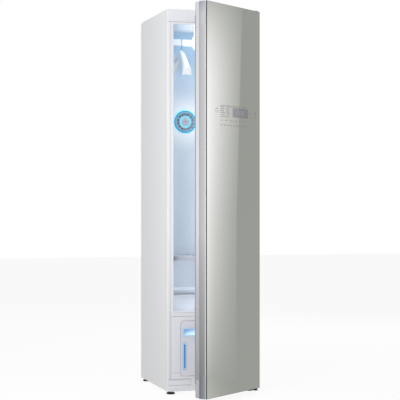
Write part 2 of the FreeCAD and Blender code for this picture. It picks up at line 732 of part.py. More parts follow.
def hanger_rail():
    """Carriage plate, neck, arm and rail, moulded as one, which the crank shakes from side to side."""
    low = rail_top - rail_height
    bar = block((-rail_half_length, rail_half_length), (rail_y - rail_radius, rail_y + rail_radius), (low, rail_top))
    bar = rounded(bar, rail_radius - 0.01, right_way, lambda p: p.z > rail_top - 1)
    bar = rounded(bar, 3, right_way, lambda p: p.z < low + 1)
    right_side = [(arm_half_width - 14, arm_foot), (arm_half_width, low), (arm_half_width, rail_top - 4),
                  (neck_half_width, rail_top + 18), (neck_half_width, ceiling_height - 3)]
    outline = right_side + [(-x, z) for x, z in reversed(right_side)]
    y = rail_y - arm_thickness / 2
    arm = rounded(prism([(x, y, z) for x, z in outline], vec(0, arm_thickness, 0)), 5, back_way,
                  lambda p: p.z < ceiling_height - 5)
    neck = block((-neck_half_width, neck_half_width), (rail_y - neck_thickness / 2, rail_y + neck_thickness / 2),
                 (ceiling_height - 12, carriage_low + 0.5))
    plate = block((-carriage_half_length, carriage_half_length),
                  (rail_y - carriage_half_width, rail_y + carriage_half_width),
                  (carriage_low, carriage_low + carriage_plate))
    slot_half = rail_stroke + crank_pin_radius + 1
    yoke = block((-crank_pin_radius - 0.3, crank_pin_radius + 0.3), (rail_y - slot_half, rail_y + slot_half),
                 (carriage_low + 0.8, carriage_low + 4))
    first_ridge, ridges = -hanger_side - hook_pitch / 2, []
    for number in range(int((rail_half_length - first_ridge) / hook_pitch) + 1):
        x = first_ridge + number * hook_pitch
        for start in (-x - 1, x - 1):
            ridges.append(cylinder(rail_radius + ridge_height, 2, vec(start, rail_y, swing_height), right_way))
    pieces = [bar, arm, rounded(neck, neck_thickness / 2 - 0.1, up_way), rounded(plate, 6, up_way)]
    return fused(pieces + ridges).cut(rounded(yoke, crank_pin_radius, up_way))


# ---- hanger ----
def hanger_hook():
    centre_z = swing_height + rail_radius + seat_gap + hook_wire - hook_radius

    def on_arc(degrees):
        a = math.radians(degrees)
        return vec(hanger_side, rail_y + hook_radius * math.cos(a), centre_z + hook_radius * math.sin(a))

    lean_y = rail_y - hook_radius
    points = [(hanger_side, rail_y, hanger_neck_top - 14), (hanger_side, rail_y, hanger_neck_top + 7),
              (hanger_side, lean_y, hanger_neck_top + 26), (hanger_side, lean_y, centre_z)]
    crown = Part.Arc(on_arc(180), on_arc(80), on_arc(-20)).toShape()
    return round_bar(route(points, 7) + [crown], hook_wire)


def hanger_body():
    """A broad shouldered body whose arms bow to one side, lofted through oval sections from tip to tip."""
    def section(reach, drop, tall, wide):
        bow = hanger_bow * (reach / hanger_half_span) ** 2
        centre = vec(-bow, reach, hanger_neck_top - drop - tall / 2)
        long_way, short_way = (up_way, right_way) if tall >= wide else (right_way, up_way)
        long_end = centre + long_way * (max(tall, wide) / 2)
        short_end = centre + short_way * (min(tall, wide) / 2)
        return Part.Wire(Part.Ellipse(long_end, short_end, centre).toShape())
    drop, tall, wide = hanger_tip_drop, hanger_tip_height, 2 * hanger_tip_half
    shoulder = [(hanger_half_span, drop + 17, tall - 34, wide - 30),
                (hanger_half_span - 10, drop + 5, tall - 8, wide - 12),
                (hanger_half_span - 40, drop - 16, tall, wide),
                (90, 24, tall - 10, wide - 12),
                (32, 4, hanger_neck_height, 2 * hanger_neck_half + 4)]
    stations = [(-reach, *rest) for reach, *rest in shoulder]
    stations += [(0, 0, hanger_neck_height, 2 * hanger_neck_half)] + shoulder[::-1]
    body = Part.makeLoft([section(*station) for station in stations], True, False)
    wall = hanger_wall
    hollow = [(reach - (wall + 1) * (reach > 90), down + wall, 1.6 * high, broad - 2 * wall)
              for reach, down, high, broad in shoulder[:0:-1]]
    for side in (1, -1):
        inner = [section(side * reach, *rest) for reach, *rest in hollow]
        body = body.cut(Part.makeLoft(inner, True, False))
    bore = cylinder(hook_wire + 0.02, 40, vec(0, 0, hanger_neck_top - 14))
    body = body.fuse(cylinder(6, 16, vec(0, 0, hanger_neck_top - 13))).cut(bore)
    return body.translated(vec(hanger_side, rail_y, 0))


# ---- shelf and lint filter ----
def shelf():
    """A wire frame with a front rail, thick bars and braces, and thin wires laid on it."""
    x, low, high = cavity_half_width - shelf_wire - 1.5, front + shelf_front, front + shelf_back
    corner, z = 18, shelf_height
    path = route([(0, low, z), (x, low, z), (x, high, z), (-x, high, z), (-x, low, z), (0, low, z)], corner)
    wires_z, rail_back = z + shelf_wire + shelf_cross_wire, low + shelf_rail_thickness / 2
    rail = block((-x - shelf_wire, x + shelf_wire), (low - shelf_rail_thickness / 2, rail_back),
                 (z - shelf_rail_height / 2, z + shelf_rail_height / 2))
    bars = [cylinder(shelf_wire, high - low, vec(side * shelf_bar_step * shelf_pitch, low, z), back_way)
            for side in (-1, 0, 1)]
    braces = [cylinder(shelf_cross_wire, 2 * x, vec(-x, place, wires_z - 2 * shelf_cross_wire), right_way)
              for place in (low + 120, high - 120)]
    pieces = [fused([round_bar(path, shelf_wire), rounded(rail, 3.5, right_way)] + bars + braces)]
    count = int((2 * x - 30) / shelf_pitch)
    for number in range(count + 1):
        place = (number - count / 2) * shelf_pitch
        pieces.append(cylinder(shelf_cross_wire, high - rail_back, vec(place, rail_back, wires_z), back_way))
    return pieces


def lint_filter():
    y, gap = front, seat_gap
    low = floor_top - filter_depth - 1 + gap
    outer = block((-filter_half_width + gap, filter_half_width - gap),
                  (y + filter_front + gap, y + filter_back - gap), (low, floor_top - 1))
    outer = rounded(outer, 7.7, up_way)
    inner = block((-filter_half_width + 4, filter_half_width - 4), (y + filter_front + 4, y + filter_back - 4),
                  (low + filter_wall, floor_top))
    frame = outer.cut(rounded(inner, 5, up_way))
    windows, window_y = [], (y + filter_front + 12, y + filter_back - 12)
    for column in range(-2, 3):
        x = column * 21
        windows.append(block((x - 8.5, x + 8.5), window_y, (low - 1, low + 1.2)))
    frame = frame.cut(Part.makeCompound(windows))
    middle = y + (filter_front + filter_back) / 2
    foot, top = low + 1, floor_top - 4
    grip = tube([(-30, middle, foot), (-30, middle, top), (30, middle, top), (30, middle, foot)], 2.5, 6)
    return fused([frame, grip])


# ---- lower front, bay and tanks ----
def tray_outline(gap, depth):
    """The shared outline of the tank fronts and their opening, drawn in by a gap."""
    shape = block((-tray_opening_half + gap, tray_opening_half - gap), depth,
                  (tray_opening_bottom + gap, tray_opening_top - gap))
    return rounded(shape, tray_corner - gap, back_way)


def column_edges(number):
    low = -tray_opening_half + panel_gap + number * (tank_width + tank_between)
    return low, low + tank_width


def lower_front_panel():
    """The two drawer fronts show in an opening, and the third column is moulded with a groove round it."""
    panel = block((-flange_edge, flange_edge), (front, front + moulding), (kick_top, sill_bottom))
    edge = column_edges(2)[0] - panel_gap + 0.5

    def drawer_part(shape, limit):
        return shape.common(block((-half, limit), (front - 2, front + 50), (0, 500)))
    opening = drawer_part(tray_outline(0, (front - 1, front + 40)), edge)
    rim = drawer_part(tray_outline(-moulding, (front, bay_front)), edge + moulding)
    panel = panel.fuse(rim).cut(opening)
    groove = tray_outline(0, (front - 1, front + 1)).cut(tray_outline(panel_gap, (front - 2, front + 2)))
    groove = groove.common(block((edge, half), (front - 2, front + 3), (0, 500)))
    return panel.cut(groove).removeSplitter()


def tank_bay():
    low, high = column_edges(0)[0] - bay_side_gap, column_edges(1)[1] + bay_side_gap
    y = (bay_front, bay_back)
    outer = block((low - bay_wall, high + bay_wall), y, (bay_floor - bay_wall, tray_opening_top))
    inner = block((low, high), (y[0] - 1, y[1] - bay_wall), (bay_floor, tray_opening_top - bay_wall))
    bay = outer.cut(inner)
    middle = column_edges(0)[1] + tank_between / 2
    inside = (y[0] + 4, y[1] - 1)
    pieces = [bay, block((middle - 0.6, middle + 0.6), inside, (bay_floor - 1, bay_floor + 60))]
    bores = []
    for number in (0, 1):
        left, right = column_edges(number)
        for x in (left + 12, right - 12):
            pieces.append(block((x - 2, x + 2), inside, (bay_floor - 1, tank_shell_bottom - seat_gap)))
        port = vec((left + right) / 2, y[1] - 1, port_height)
        pieces.append(cylinder(port_radius + 2, 9, port, back_way))
        bores.append(cylinder(port_radius, 20, port - vec(0, 5, 0), back_way))
    for x in (low + 6, high - 6):
        for depth in (y[0] + 8, y[1] - 12):
            pieces.append(block((x - 5, x + 5), (depth - 5, depth + 5), (base_top, bay_floor - 1)))
    return fused(pieces).cut(Part.makeCompound(bores))


def tank_shell(number):
    left, right = column_edges(number)
    x, y = (left + tank_side_gap, right - tank_side_gap), (tank_shell_front, tank_shell_back)
    outer = rounded(block(x, y, (tank_shell_bottom, tank_shell_top)), 10, up_way, lambda p: p.y > y[0] + 1)
    inner = block((x[0] + tank_wall, x[1] - tank_wall), (y[0] + tank_wall, y[1] - tank_wall),
                  (tank_shell_bottom + tank_wall, tank_shell_top + 1))
    shell = outer.cut(rounded(inner, 8, up_way))
    gauge_x = left + grip_inset
    gauge = block((gauge_x + 0.3, gauge_x + gauge_width - 0.3), (front + 2, y[0] + 1),
                  (gauge_bottom + 0.3, gauge_top - 0.3))
    port = vec((left + right) / 2, y[1] - 1, port_height)
    spout = cylinder(port_radius + 2, 7, port, back_way)
    bore = cylinder(port_radius, 12, port - vec(0, 3, 0), back_way)
    return shell.fuse([rounded(gauge, 1.8, back_way), spout]).cut(bore).removeSplitter()


def tank_lid_shape(number):
    left, right = column_edges(number)
    x, y = (left + 4, right - 4), (tank_shell_front, tank_shell_back + 0.5)
    lid = block(x, y, (tank_shell_top, tank_shell_top + tank_lid))
    lid = rounded(lid, 10, up_way, lambda p: p.y > y[0] + 1)
    cap_place = vec((left + right) / 2, y[1] - 45, tank_shell_top + tank_lid)
    cap = cylinder(17, 7, cap_place)
    ridges = [block((-1.5, 1.5), (14.5, 18.5), (0, 6)).rotated(vec(0, 0, 0), up_way, a).translated(cap_place)
              for a in range(0, 360, 45)]
    inset = tank_side_gap + tank_wall + seat_gap
    plug_gap = tank_wall + seat_gap
    plug = block((left + inset, right - inset), (y[0] + plug_gap, tank_shell_back - plug_gap),
                 (tank_shell_top - 4, tank_shell_top))
    return fused([lid, cap, rounded(plug, 7.5, up_way)] + ridges)


def tank_front(number):
    """A moulded cover: front wall, rim, grip pocket, slot for the level window and four screw bosses."""
    left, right = column_edges(number)
    y_back = tank_shell_front

    def column(inset, depth):
        plate = tray_outline(panel_gap + inset, depth)
        return plate.common(block((left + inset, right - inset), (depth[0] - 1, depth[1] + 1), (0, 500)))
    cover = column(0, (front, y_back)).cut(column(tank_front_rim, (front + tank_front_wall, y_back + 1)))
    x, z = (left + grip_inset, right - grip_inset), (grip_bottom, grip_top)
    pocket = block((x[0] - 2, x[1] + 2), (front + 1, y_back), (z[0] - 2, z[1] + 6))
    recess = block(x, (front - 1, front + grip_depth), z)
    finger_room = block(x, (front + tank_front_wall, front + grip_depth), (z[1] - 1, z[1] + 4))
    slot = block((x[0], x[0] + gauge_width), (front - 1, y_back + 1), (gauge_bottom, gauge_top))
    bosses = [cylinder(3.5, y_back - front - 1, vec(bx, front + 1, bz), back_way)
              for bx in (left + 34, right - 14) for bz in (tank_shell_bottom + 14, tank_shell_top - 60)]
    cover = cover.fuse([pocket] + bosses).cut(recess).cut(finger_room).cut(rounded(slot, 2, back_way))
    return cover.removeSplitter()


# ---- machine room ----
def compressor():
    x, y, radius = compressor_x, compressor_y, compressor_radius
    low = base_top + 12
    top = low + 14 + compressor_height
    body = cylinder(radius, compressor_height, vec(x, y, low + 14))
    body = body.makeFillet(20, [e for e in body.Edges if isinstance(e.Curve, Part.Circle)])

    def around(reach, degrees):
        a = math.radians(degrees)
        return x + reach * math.cos(a), y + reach * math.sin(a)
    corners = [(*around(radius + 18, degrees), low + 14) for degrees in (30, 150, 270)]
    plate = rounded(prism(corners, vec(0, 0, 3)), 12, up_way)
    skirt = cylinder(40, 24, vec(x, y, low + 14))
    stubs = [cylinder(4, 16, vec(x + dx, y + dy, top - 2)) for dx, dy in ((20, 0), (-20, 8))]
    feet = [cylinder(9, low + 15 - base_top, vec(*around(radius - 4, degrees), base_top))
            for degrees in (30, 150, 270)]
    return fused([body, plate, skirt] + stubs + feet)


def heat_exchangers():
    """Two finned coils between end plates that stand on the base pan, with a header pipe on the right."""
    coils = []
    left, right = blower_x - blower_radius, compressor_x - compressor_radius - 40
    low, high = coil_bottom, sill_bottom - 54.5
    fins = int((right - left - 10) / 20)
    first = (left + right) / 2 - 10 * fins + 6
    for y in (coil_y, coil_y + coil_pitch):
        core = block((left, right), (y, y + coil_depth), (low, high))
        slots = [block((first + n * 20, first + 8 + n * 20), (y - 1, y + 14), (low + 6, high - 6))
                 for n in range(fins)]
        plates = [block((end - 2, end + 2), (y - 3, y + coil_depth + 3), (base_top, high + 4)) for end in (left, right)]
        header = cylinder(5, high - low - 20, vec(right + 6, y + 15, low + 10))
        coils.append(fused([core.cut(Part.makeCompound(slots)), header] + plates))
    return coils


def blower_parts():
    x, y, low = blower_x, blower_y, base_top
    radius, height, wall = blower_radius, blower_height, 2.5
    outer = cylinder(radius, height, vec(x, y, low))
    throat = block((x, x + radius + 28), (y + radius - 44, y + radius), (low, low + height))
    inner = cylinder(radius - wall, height - 2 * wall, vec(x, y, low + wall))
    throat_inner = block((x, x + radius + 30), (y + radius - 44 + wall, y + radius - wall),
                         (low + wall, low + height - wall))
    mouth = cylinder(radius - 28, 10, vec(x, y, low + height - 5))
    housing = outer.fuse(throat).cut(inner.fuse(throat_inner)).cut(mouth)
    motor = cylinder(22, 18, vec(x, y, low + wall))
    shaft = cylinder(4, 40, vec(x, y, low + 20))
    housing = housing.fuse([motor, shaft]).removeSplitter()
    wheel_low, reach = low + 24, radius - 14
    rings = [ring(reach, reach - 11, 2, vec(x, y, wheel_low + 40)), cylinder(reach, 2, vec(x, y, wheel_low))]
    hub = cylinder(10, 22, vec(x, y, wheel_low))
    blade = block((reach - 9, reach - 1), (-0.7, 0.7), (0, 41)).rotated(vec(reach - 5, 0, 0), up_way, 35)
    middle = vec(x, y, wheel_low + 0.5)
    blades = [blade.rotated(vec(0, 0, 0), up_way, n * 15).translated(middle) for n in range(24)]
    wheel = fused(rings + [hub] + blades).cut(cylinder(4 + pin_clearance, 60, vec(x, y, low)))
    return housing, wheel


def steam_generator():
    (left, right), y, z = generator_x, generator_y, (generator_bottom, generator_top)
    body = rounded(block((left, right), y, z), 12, right_way)
    places = [left + (right - left) * n / 4 for n in (1, 2, 3)]
    ribs = [block((p - 2, p + 2), (y[0] - 3, y[1] + 3), (z[0] + 6, z[1] - 6)) for p in places]
    outlet = cylinder(9, 12, vec(steam_port[0], steam_port[1], z[1] - 1))
    inlet = cylinder(hose_radius + 1, 16, vec(feed_x, y[1] - 2, feed_height), back_way)
    legs = [block((p - 5, p + 5), (q - 5, q + 5), (base_top, z[0] + 8))
            for p in (left + 10, right - 10) for q in (y[0] + 16, y[1] - 16)]
    return fused([body, outlet, inlet] + ribs + legs)


def water_pumps():
    """Each pump takes water from its tank's port in front and gives it out at its right side."""
    pumps = []
    for x in pump_places():
        base = block((x - pump_base, x + pump_base), (pump_y - 30, pump_y + pump_base), (base_top, base_top + 8))
        head = cylinder(20, 18, vec(x, pump_y, base_top + 8))
        motor = cylinder(16, 42, vec(x, pump_y, base_top + 26))
        inlet = cylinder(hose_radius + 1, pump_inlet_top - base_top - 7, vec(x, pump_y - 22, base_top + 7))
        outlet = cylinder(hose_radius + 1, pump_spout, vec(x, pump_y, pump_outlet), right_way)
        pumps.append(fused([base, head, motor, inlet, outlet]))
    return pumps


def pump_places():
    return [sum(column_edges(number)) / 2 for number in (0, 1)]


def control_box():
    left, right = control_x
    y, z = (front + 20, front + 20 + control_depth), (control_top - control_height, control_top)
    box = rounded(block((left, right), y, z), 5, back_way)
    lid = block((left - 2, right + 2), (y[0] - 3, y[0]), (z[0] - 2, z[1] + 2))
    count = int((right - left - 26) / 16)
    first = (left + right) / 2 - 8 * (count - 1) - 2
    ribs = [block((first + n * 16, first + 4 + n * 16), (y[1], y[1] + 4), (z[0] + 14, z[1] - 14))
            for n in range(count)]
    legs = [block((p - 4, p + 4), (y[1] - 14, y[1] - 4), (base_top, z[0] + 2)) for p in (left + 8, right - 8)]
    return fused([box, rounded(lid, 4, back_way)] + ribs + legs)


def hoses():
    """Steam to the rear duct, tank water to the pumps, pump water to the generator, and the floor drain."""
    pump_x = pump_places()
    steam_y = cavity_back + moulding + duct_depth / 2
    side_x, rise_x = bay_right + 8.8, compressor_x - compressor_radius - 30
    x, y = steam_port
    z = generator_top + 22
    steam = tube([(x, y, z - 11), (x, y, z), (side_x, y + 110, z), (rise_x, coil_y - 8, sill_bottom - 34.5),
                  (rise_x, steam_y, sill_bottom - 14.5), (rise_x, steam_y, duct_bottom)], hose_radius + 1, 9)
    runs = [steam]
    for x in pump_x:
        down = pump_y - 22
        runs.append(tube([(x, bay_back + 8, port_height), (x, down, port_height), (x, down, pump_inlet_top)],
                         hose_radius, 9))
    z = pump_outlet
    turn_x, behind = pump_x[0] + (pump_x[1] - pump_x[0]) / 2 + 3.5, coil_y - 16
    feed = [(pump_x[0] + pump_spout, pump_y, z), (turn_x, pump_y, z), (turn_x, behind, z), (feed_x, behind, z),
            (feed_x, generator_y[1] + 70, feed_height), (feed_x, generator_y[1] + 14, feed_height)]
    runs.append(tube(feed, hose_radius, 12))
    drain = [(drain_x, drain_y, floor_top - moulding), (drain_x, drain_y, sill_bottom - 14.5), (drain_x, pump_y, 300),
             (drain_x, pump_y, z), (pump_x[1] + pump_spout, pump_y, z)]
    runs.append(tube(drain, hose_radius, 12))
    return runs


def inlet_outline(gap):
    return inlet_left - gap, inlet_left + inlet_width + gap, inlet_low - gap, inlet_low + inlet_height + gap


def power_inlet():
    left, right, low, high = inlet_outline(0)
    body = rounded(block((left, right), (inside_back - 26, back - 0.2), (low, high)), 3, back_way)
    flange = block((left - 4, right + 4), (inside_back - 2, inside_back), (low - 4, high + 4))
    recess = rounded(block((left + 4, right - 4), (back - 16, back + 1), (low + 4, high - 4)), 4, back_way)
    pins = [block((left + inlet_width * n / 10 - 1, left + inlet_width * n / 10 + 1), (back - 17, back - 4),
                  (low + 10, low + 14)) for n in (3, 5, 7)]
    return body.fuse(flange).cut(recess).fuse(pins).removeSplitter()


# ---- hinges ----
def top_hinge():
    low = hinge_plate_low
    plate = block((hinge_x - 14, hinge_x + 13), (hinge_y, front + 45), (low, overall_height))
    nose = cylinder(13, overall_height - low, vec(hinge_x, hinge_y, low))
    tail = block((hinge_x - 31, hinge_x + 13), (front + 4, front + 45), (low, overall_height))
    pin = cylinder(hinge_pin, hinge_grip, vec(hinge_x, hinge_y, low - hinge_grip))
    return fused([plate, nose, tail, pin])


def bottom_hinge():
    low, high = base_bottom - 3, base_bottom
    plate = block((hinge_x - 22, hinge_x + 14), (hinge_y, front + 66), (low, high))
    nose = cylinder(13, 3, vec(hinge_x, hinge_y, low))
    plate = plate.cut(block((hinge_x - 30, hinge_x - 13), (hinge_y - 1, front - 4), (low - 1, high + 1)))
    plate = plate.cut(cylinder(foot_neck_radius + 3, 6, vec(foot_x, -foot_y, low - 1)))
    washer = cylinder(10, door_bottom - seat_gap - high, vec(hinge_x, hinge_y, high))
    pin = cylinder(hinge_pin, door_bottom - high + hinge_grip, vec(hinge_x, hinge_y, high))
    return fused([plate, nose, washer, pin])


# ---- door, drawn closed ----
def door_glass():
    glass = block((-half, half), (door_front, glass_back), (door_bottom, door_top))
    glass = rounded(glass, 3, back_way)
    edges = [e for e in glass.Edges if abs(e.CenterOfMass.y - door_front) < 1e-6]
    return glass.makeChamfer(glass_bevel, edges)


def glass_carrier():
    plate = block((-half + carrier_inset, half - carrier_inset), (glass_back, carrier_back),
                  (door_bottom + carrier_inset, door_top - carrier_inset))
    return rounded(plate, 3, back_way)


def door_side_trims():
    low, high = door_bottom + cap_leg, door_top - cap_leg
    trim = block((-half, -half + trim_width), (carrier_back, frame_back), (low, high))
    groove = block((-half - 1, -half + 0.8), (carrier_back + 6.6, carrier_back + 7.6), (low - 1, high + 1))
    trim = trim.cut(groove)
    return [trim, mirrored(trim)]


def door_cap(end, inward):
    """A moulded end cap: a bar across the door with a leg down each side. Inward is 1 for the bottom cap."""
    def span(near, far):
        return tuple(sorted((end + inward * near, end + inward * far)))
    cap = block((-half, half), (carrier_back, frame_back), span(0, cap_bar))
    leg = block((-half, -half + trim_width), (carrier_back, frame_back), span(0, cap_leg))
    groove = block((-half - 1, -half + 0.8), (carrier_back + 6.6, carrier_back + 7.6), span(0, cap_leg))
    bore = cylinder(hinge_pin + pin_clearance, hinge_grip + 1, vec(hinge_x, hinge_y, end), vec(0, 0, inward))
    return cap.fuse([leg, mirrored(leg)]).cut(groove.fuse(mirrored(groove))).cut(bore).removeSplitter()


def display_pocket(gap):
    top = door_top - display_drop
    return block((-half + display_left - gap, half - display_right + gap), (carrier_back - 1, carrier_back + 10 + gap),
                 (top - display_height - gap, top + gap))


def door_core():
    """Foam behind the glass and inside the liner's skin, with a pocket for the display board."""
    core = block((-half + trim_width, half - trim_width), (carrier_back, frame_back),
                 (door_bottom + cap_bar, door_top - cap_bar))
    return core.fuse(liner_form(liner_skin)).cut(display_pocket(seat_gap)).removeSplitter()


def display_board():
    board = display_pocket(0).cut(block((-half, half), (door_front, carrier_back), (0, overall_height)))
    return rounded(board, 4, back_way)


def liner_form(skin):
    """The outside of the liner, or of the foam that fills it when it is drawn in by the skin."""
    edge = 1.5 + skin
    form = block((-half + edge, half - edge), (frame_back, door_back - skin), (door_bottom + edge, door_top - edge))
    form = rounded(form, 6 - skin, back_way)
    reach = half - liner_border + skin
    recess = block((-reach, reach), (door_back - liner_recess - skin, door_back + 1),
                   (door_bottom + 87 - skin, door_top - 87 + skin))
    return form.cut(rounded(recess, 22 + skin, back_way))


def door_liner():
    skin = liner_form(0).cut(liner_form(liner_skin))
    reach, low, high = half - liner_border - 18, door_bottom + 87, door_top - 87
    y = (door_back - liner_recess - 0.5, door_back - liner_recess + 5)
    ribs = []
    for number in range(liner_ribs):
        z = low + (high - low) * (number + 0.5) / liner_ribs
        ribs.append(rounded(block((-reach, reach), y, (z - 5, z + 5)), 4, back_way))
    return skin.fuse(ribs).removeSplitter()


def gasket_loop(grow, depth):
    left, right = -half + 4.5 + grow, hinge_x + 1.5 - grow
    low, high = gasket_bottom + grow, gasket_top - grow
    c = gasket_chamfer - grow * 0.6
    points = [(left + c, low), (right - c, low), (right, low + c), (right, high - c), (right - c, high),
              (left + c, high), (left, high - c), (left, low + c)]
    return prism([(p[0], depth[0], p[1]) for p in points], vec(0, depth[1] - depth[0], 0))


def door_gasket():
    lip = gasket_loop(0, (door_back, front - seat_gap)).cut(gasket_loop(gasket_width, (door_back - 1, front + 1)))
    channel = gasket_loop(4, (front - 2.4, front + 1)).cut(gasket_loop(gasket_width - 4, (front - 2.5, front + 2)))
    return lip.cut(channel)


def main():
    os.makedirs("parts", exist_ok=True)
    left_panel, left_liner = left_side_panel(), liner_left()
    blower_housing, blower_wheel = blower_parts()
    pieces = {
        "left_side_panel": [left_panel],
        "right_side_panel": [mirrored(left_panel)],
        "back_panel": [back_panel()],
        "top_cover": [top_cover()],
        "base_pan": [base_pan()],
        "levelling_feet": levelling_feet(),
        "front_header": [front_header()],
        "kick_panel": [kick_panel()],
        "lower_cover": [lower_cover()],
        "liner_left": [left_liner],
        "liner_right": [mirrored(left_liner)],
        "liner_back": [liner_back()],
        "ceiling_panel": [ceiling_panel()],
        "cavity_floor": [cavity_floor()],
        "insulation_boards": insulation_boards(),
        "rear_duct": [rear_duct()],
        "outlet_bezel": [outlet_bezel()],
        "outlet_light_ring": outlet_light_ring(),
        "fan_impeller": [fan_impeller()],
        "fan_motor": [fan_motor()],
        "rear_grille": [rear_grille()],
        "steam_outlet": [steam_outlet()],
        "header_lamp_lens": [header_lamp_lens()],
        "humidity_sensor": [humidity_sensor()],
        "drive_housing": [drive_housing()],
        "drive_motor": [drive_motor()],
        "drive_crank": [drive_crank()],
        "hanger_rail": [hanger_rail()],
        "hanger_hook": [hanger_hook()],
        "hanger_body": [hanger_body()],
        "shelf": shelf(),
        "lint_filter": [lint_filter()],
        "lower_front_panel": [lower_front_panel()],
        "tank_bay": [tank_bay()],
        "supply_tank": [tank_shell(0)],
        "supply_tank_lid": [tank_lid_shape(0)],
        "supply_tank_front": [tank_front(0)],
        "drain_tank": [tank_shell(1)],
        "drain_tank_lid": [tank_lid_shape(1)],
        "drain_tank_front": [tank_front(1)],
        "compressor": [compressor()],
        "heat_exchangers": heat_exchangers(),
        "blower_housing": [blower_housing],
        "blower_wheel": [blower_wheel],
        "steam_generator": [steam_generator()],
        "water_pumps": water_pumps(),
        "control_box": [control_box()],
        "hoses": hoses(),
        "power_inlet": [power_inlet()],
        "top_hinge": [top_hinge()],
        "bottom_hinge": [bottom_hinge()],
    }
    door = {
        "door_glass": [door_glass()],
        "glass_carrier": [glass_carrier()],
        "door_side_trims": door_side_trims(),
        "door_top_cap": [door_cap(door_top, -1)],
        "door_bottom_cap": [door_cap(door_bottom, 1)],
        "door_core": [door_core()],
        "display_board": [display_board()],
        "door_liner": [door_liner()],
        "door_gasket": [door_gasket()],
    }
    for name, shapes in door.items():
        pieces[name] = [hang_door(shape) for shape in shapes]
    for name, shapes in pieces.items():
        save(name, *shapes)
    print(len(pieces), "nodes")


main()
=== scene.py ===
import bpy
import bmesh
import json
import math
from mathutils import Matrix, Vector

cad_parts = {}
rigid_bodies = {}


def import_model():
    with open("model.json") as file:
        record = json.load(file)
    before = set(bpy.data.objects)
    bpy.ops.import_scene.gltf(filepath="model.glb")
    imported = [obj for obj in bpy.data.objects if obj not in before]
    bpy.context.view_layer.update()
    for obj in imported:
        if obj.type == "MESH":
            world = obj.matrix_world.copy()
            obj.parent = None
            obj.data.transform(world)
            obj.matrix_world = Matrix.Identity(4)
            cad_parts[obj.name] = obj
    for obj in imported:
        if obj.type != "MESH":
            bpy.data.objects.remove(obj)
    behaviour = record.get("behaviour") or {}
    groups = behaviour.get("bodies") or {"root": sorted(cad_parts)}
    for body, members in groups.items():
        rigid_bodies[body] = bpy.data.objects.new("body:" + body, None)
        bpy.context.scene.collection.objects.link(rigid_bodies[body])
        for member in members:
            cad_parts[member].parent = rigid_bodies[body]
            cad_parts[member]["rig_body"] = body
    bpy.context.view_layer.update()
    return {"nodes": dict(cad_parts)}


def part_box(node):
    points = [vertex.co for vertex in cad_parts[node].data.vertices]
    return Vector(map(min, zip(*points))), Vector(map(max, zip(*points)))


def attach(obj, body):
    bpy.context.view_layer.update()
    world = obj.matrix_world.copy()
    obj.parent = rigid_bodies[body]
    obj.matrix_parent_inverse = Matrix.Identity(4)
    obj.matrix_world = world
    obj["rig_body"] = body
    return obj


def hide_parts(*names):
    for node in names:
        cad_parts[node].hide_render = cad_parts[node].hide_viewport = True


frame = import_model()
nodes = frame["nodes"]
scene = bpy.context.scene
mm = 0.001


def operator(name, swapped=False):
    def apply(self, other):
        return self.math(name, other, self) if swapped else self.math(name, self, other)
    return apply


# a socket that takes part in Python expressions
class Signal:
    def __init__(self, paint, socket):
        self.paint, self.socket = paint, socket

    def math(self, operation, first, second):
        return self.paint.add("ShaderNodeMath", {"operation": operation}, {0: first, 1: second})

    def clamped(self):
        return self.math("MINIMUM", self.math("MAXIMUM", self, 0.0), 1.0)

    __add__, __radd__ = operator("ADD"), operator("ADD", True)
    __sub__, __rsub__ = operator("SUBTRACT"), operator("SUBTRACT", True)
    __mul__, __rmul__ = operator("MULTIPLY"), operator("MULTIPLY", True)
    __truediv__, __pow__ = operator("DIVIDE"), operator("POWER")
    __lt__, __gt__ = operator("LESS_THAN"), operator("GREATER_THAN")


def shade(red, green, blue):
    def linear(value):
        value /= 255
        return value / 12.92 if value <= 0.04045 else ((value + 0.055) / 1.055) ** 2.4
    return linear(red), linear(green), linear(blue), 1.0


# a node tree for one finish, or for the world
class Paint:
    def __init__(self, name, world=None):
        self.owner = world or bpy.data.materials.new(name)
        self.owner.use_nodes = True
        self.tree = self.owner.node_tree
        self.tree.nodes.clear()

    def add(self, kind, settings=None, inputs=None, output=0):
        node = self.tree.nodes.new(kind)
        for key, value in (settings or {}).items():
            setattr(node, key, value)
        for key, value in (inputs or {}).items():
            if isinstance(value, Signal):
                self.tree.links.new(value.socket, node.inputs[key])
            else:
                node.inputs[key].default_value = value
        return Signal(self, node.outputs[output])

    def place(self):
        return self.add("ShaderNodeTexCoord", output="Object")

    def axes(self, letters="xyz"):
        place = self.place()
        return [self.add("ShaderNodeSeparateXYZ", inputs={0: place}, output="xyz".index(letter))
                for letter in letters]

    def noise(self, scale, stretch=(1, 1, 1), detail=2.0):
        place = self.add("ShaderNodeMapping", {"vector_type": "POINT"},
                         {"Vector": self.place(), "Scale": stretch})
        return self.add("ShaderNodeTexNoise", None,
                        {"Vector": place, "Scale": scale, "Detail": detail})

    def cells(self, scale, output="Distance"):
        return self.add("ShaderNodeTexVoronoi", {"feature": "F1"},
                        {"Vector": self.place(), "Scale": scale}, output)

    def mix(self, factor, first, second):
        return self.add("ShaderNodeMix", {"data_type": "RGBA"},
                        {0: factor, 6: first, 7: second}, 2)

    def shades(self, factor, first, second):
        return self.mix(factor, shade(*first), shade(*second))

    def bump(self, height, distance):
        return self.add("ShaderNodeBump", None,
                        {"Height": height, "Distance": distance, "Strength": 1.0})

    # the fine grain of a moulding
    def grain(self, depth):
        return self.bump(self.noise(1400), depth)

    def surface(self, **inputs):
        named = {key.replace("_", " "): value for key, value in inputs.items()}
        return self.close(self.add("ShaderNodeBsdfPrincipled", None, named))

    def close(self, shader, kind="ShaderNodeOutputMaterial"):
        node = self.tree.nodes.new(kind)
        self.tree.links.new(shader.socket, node.inputs["Surface"])
        return self.owner


def nodeMiddle(node):
    low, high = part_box(node)
    return (low + high) / 2


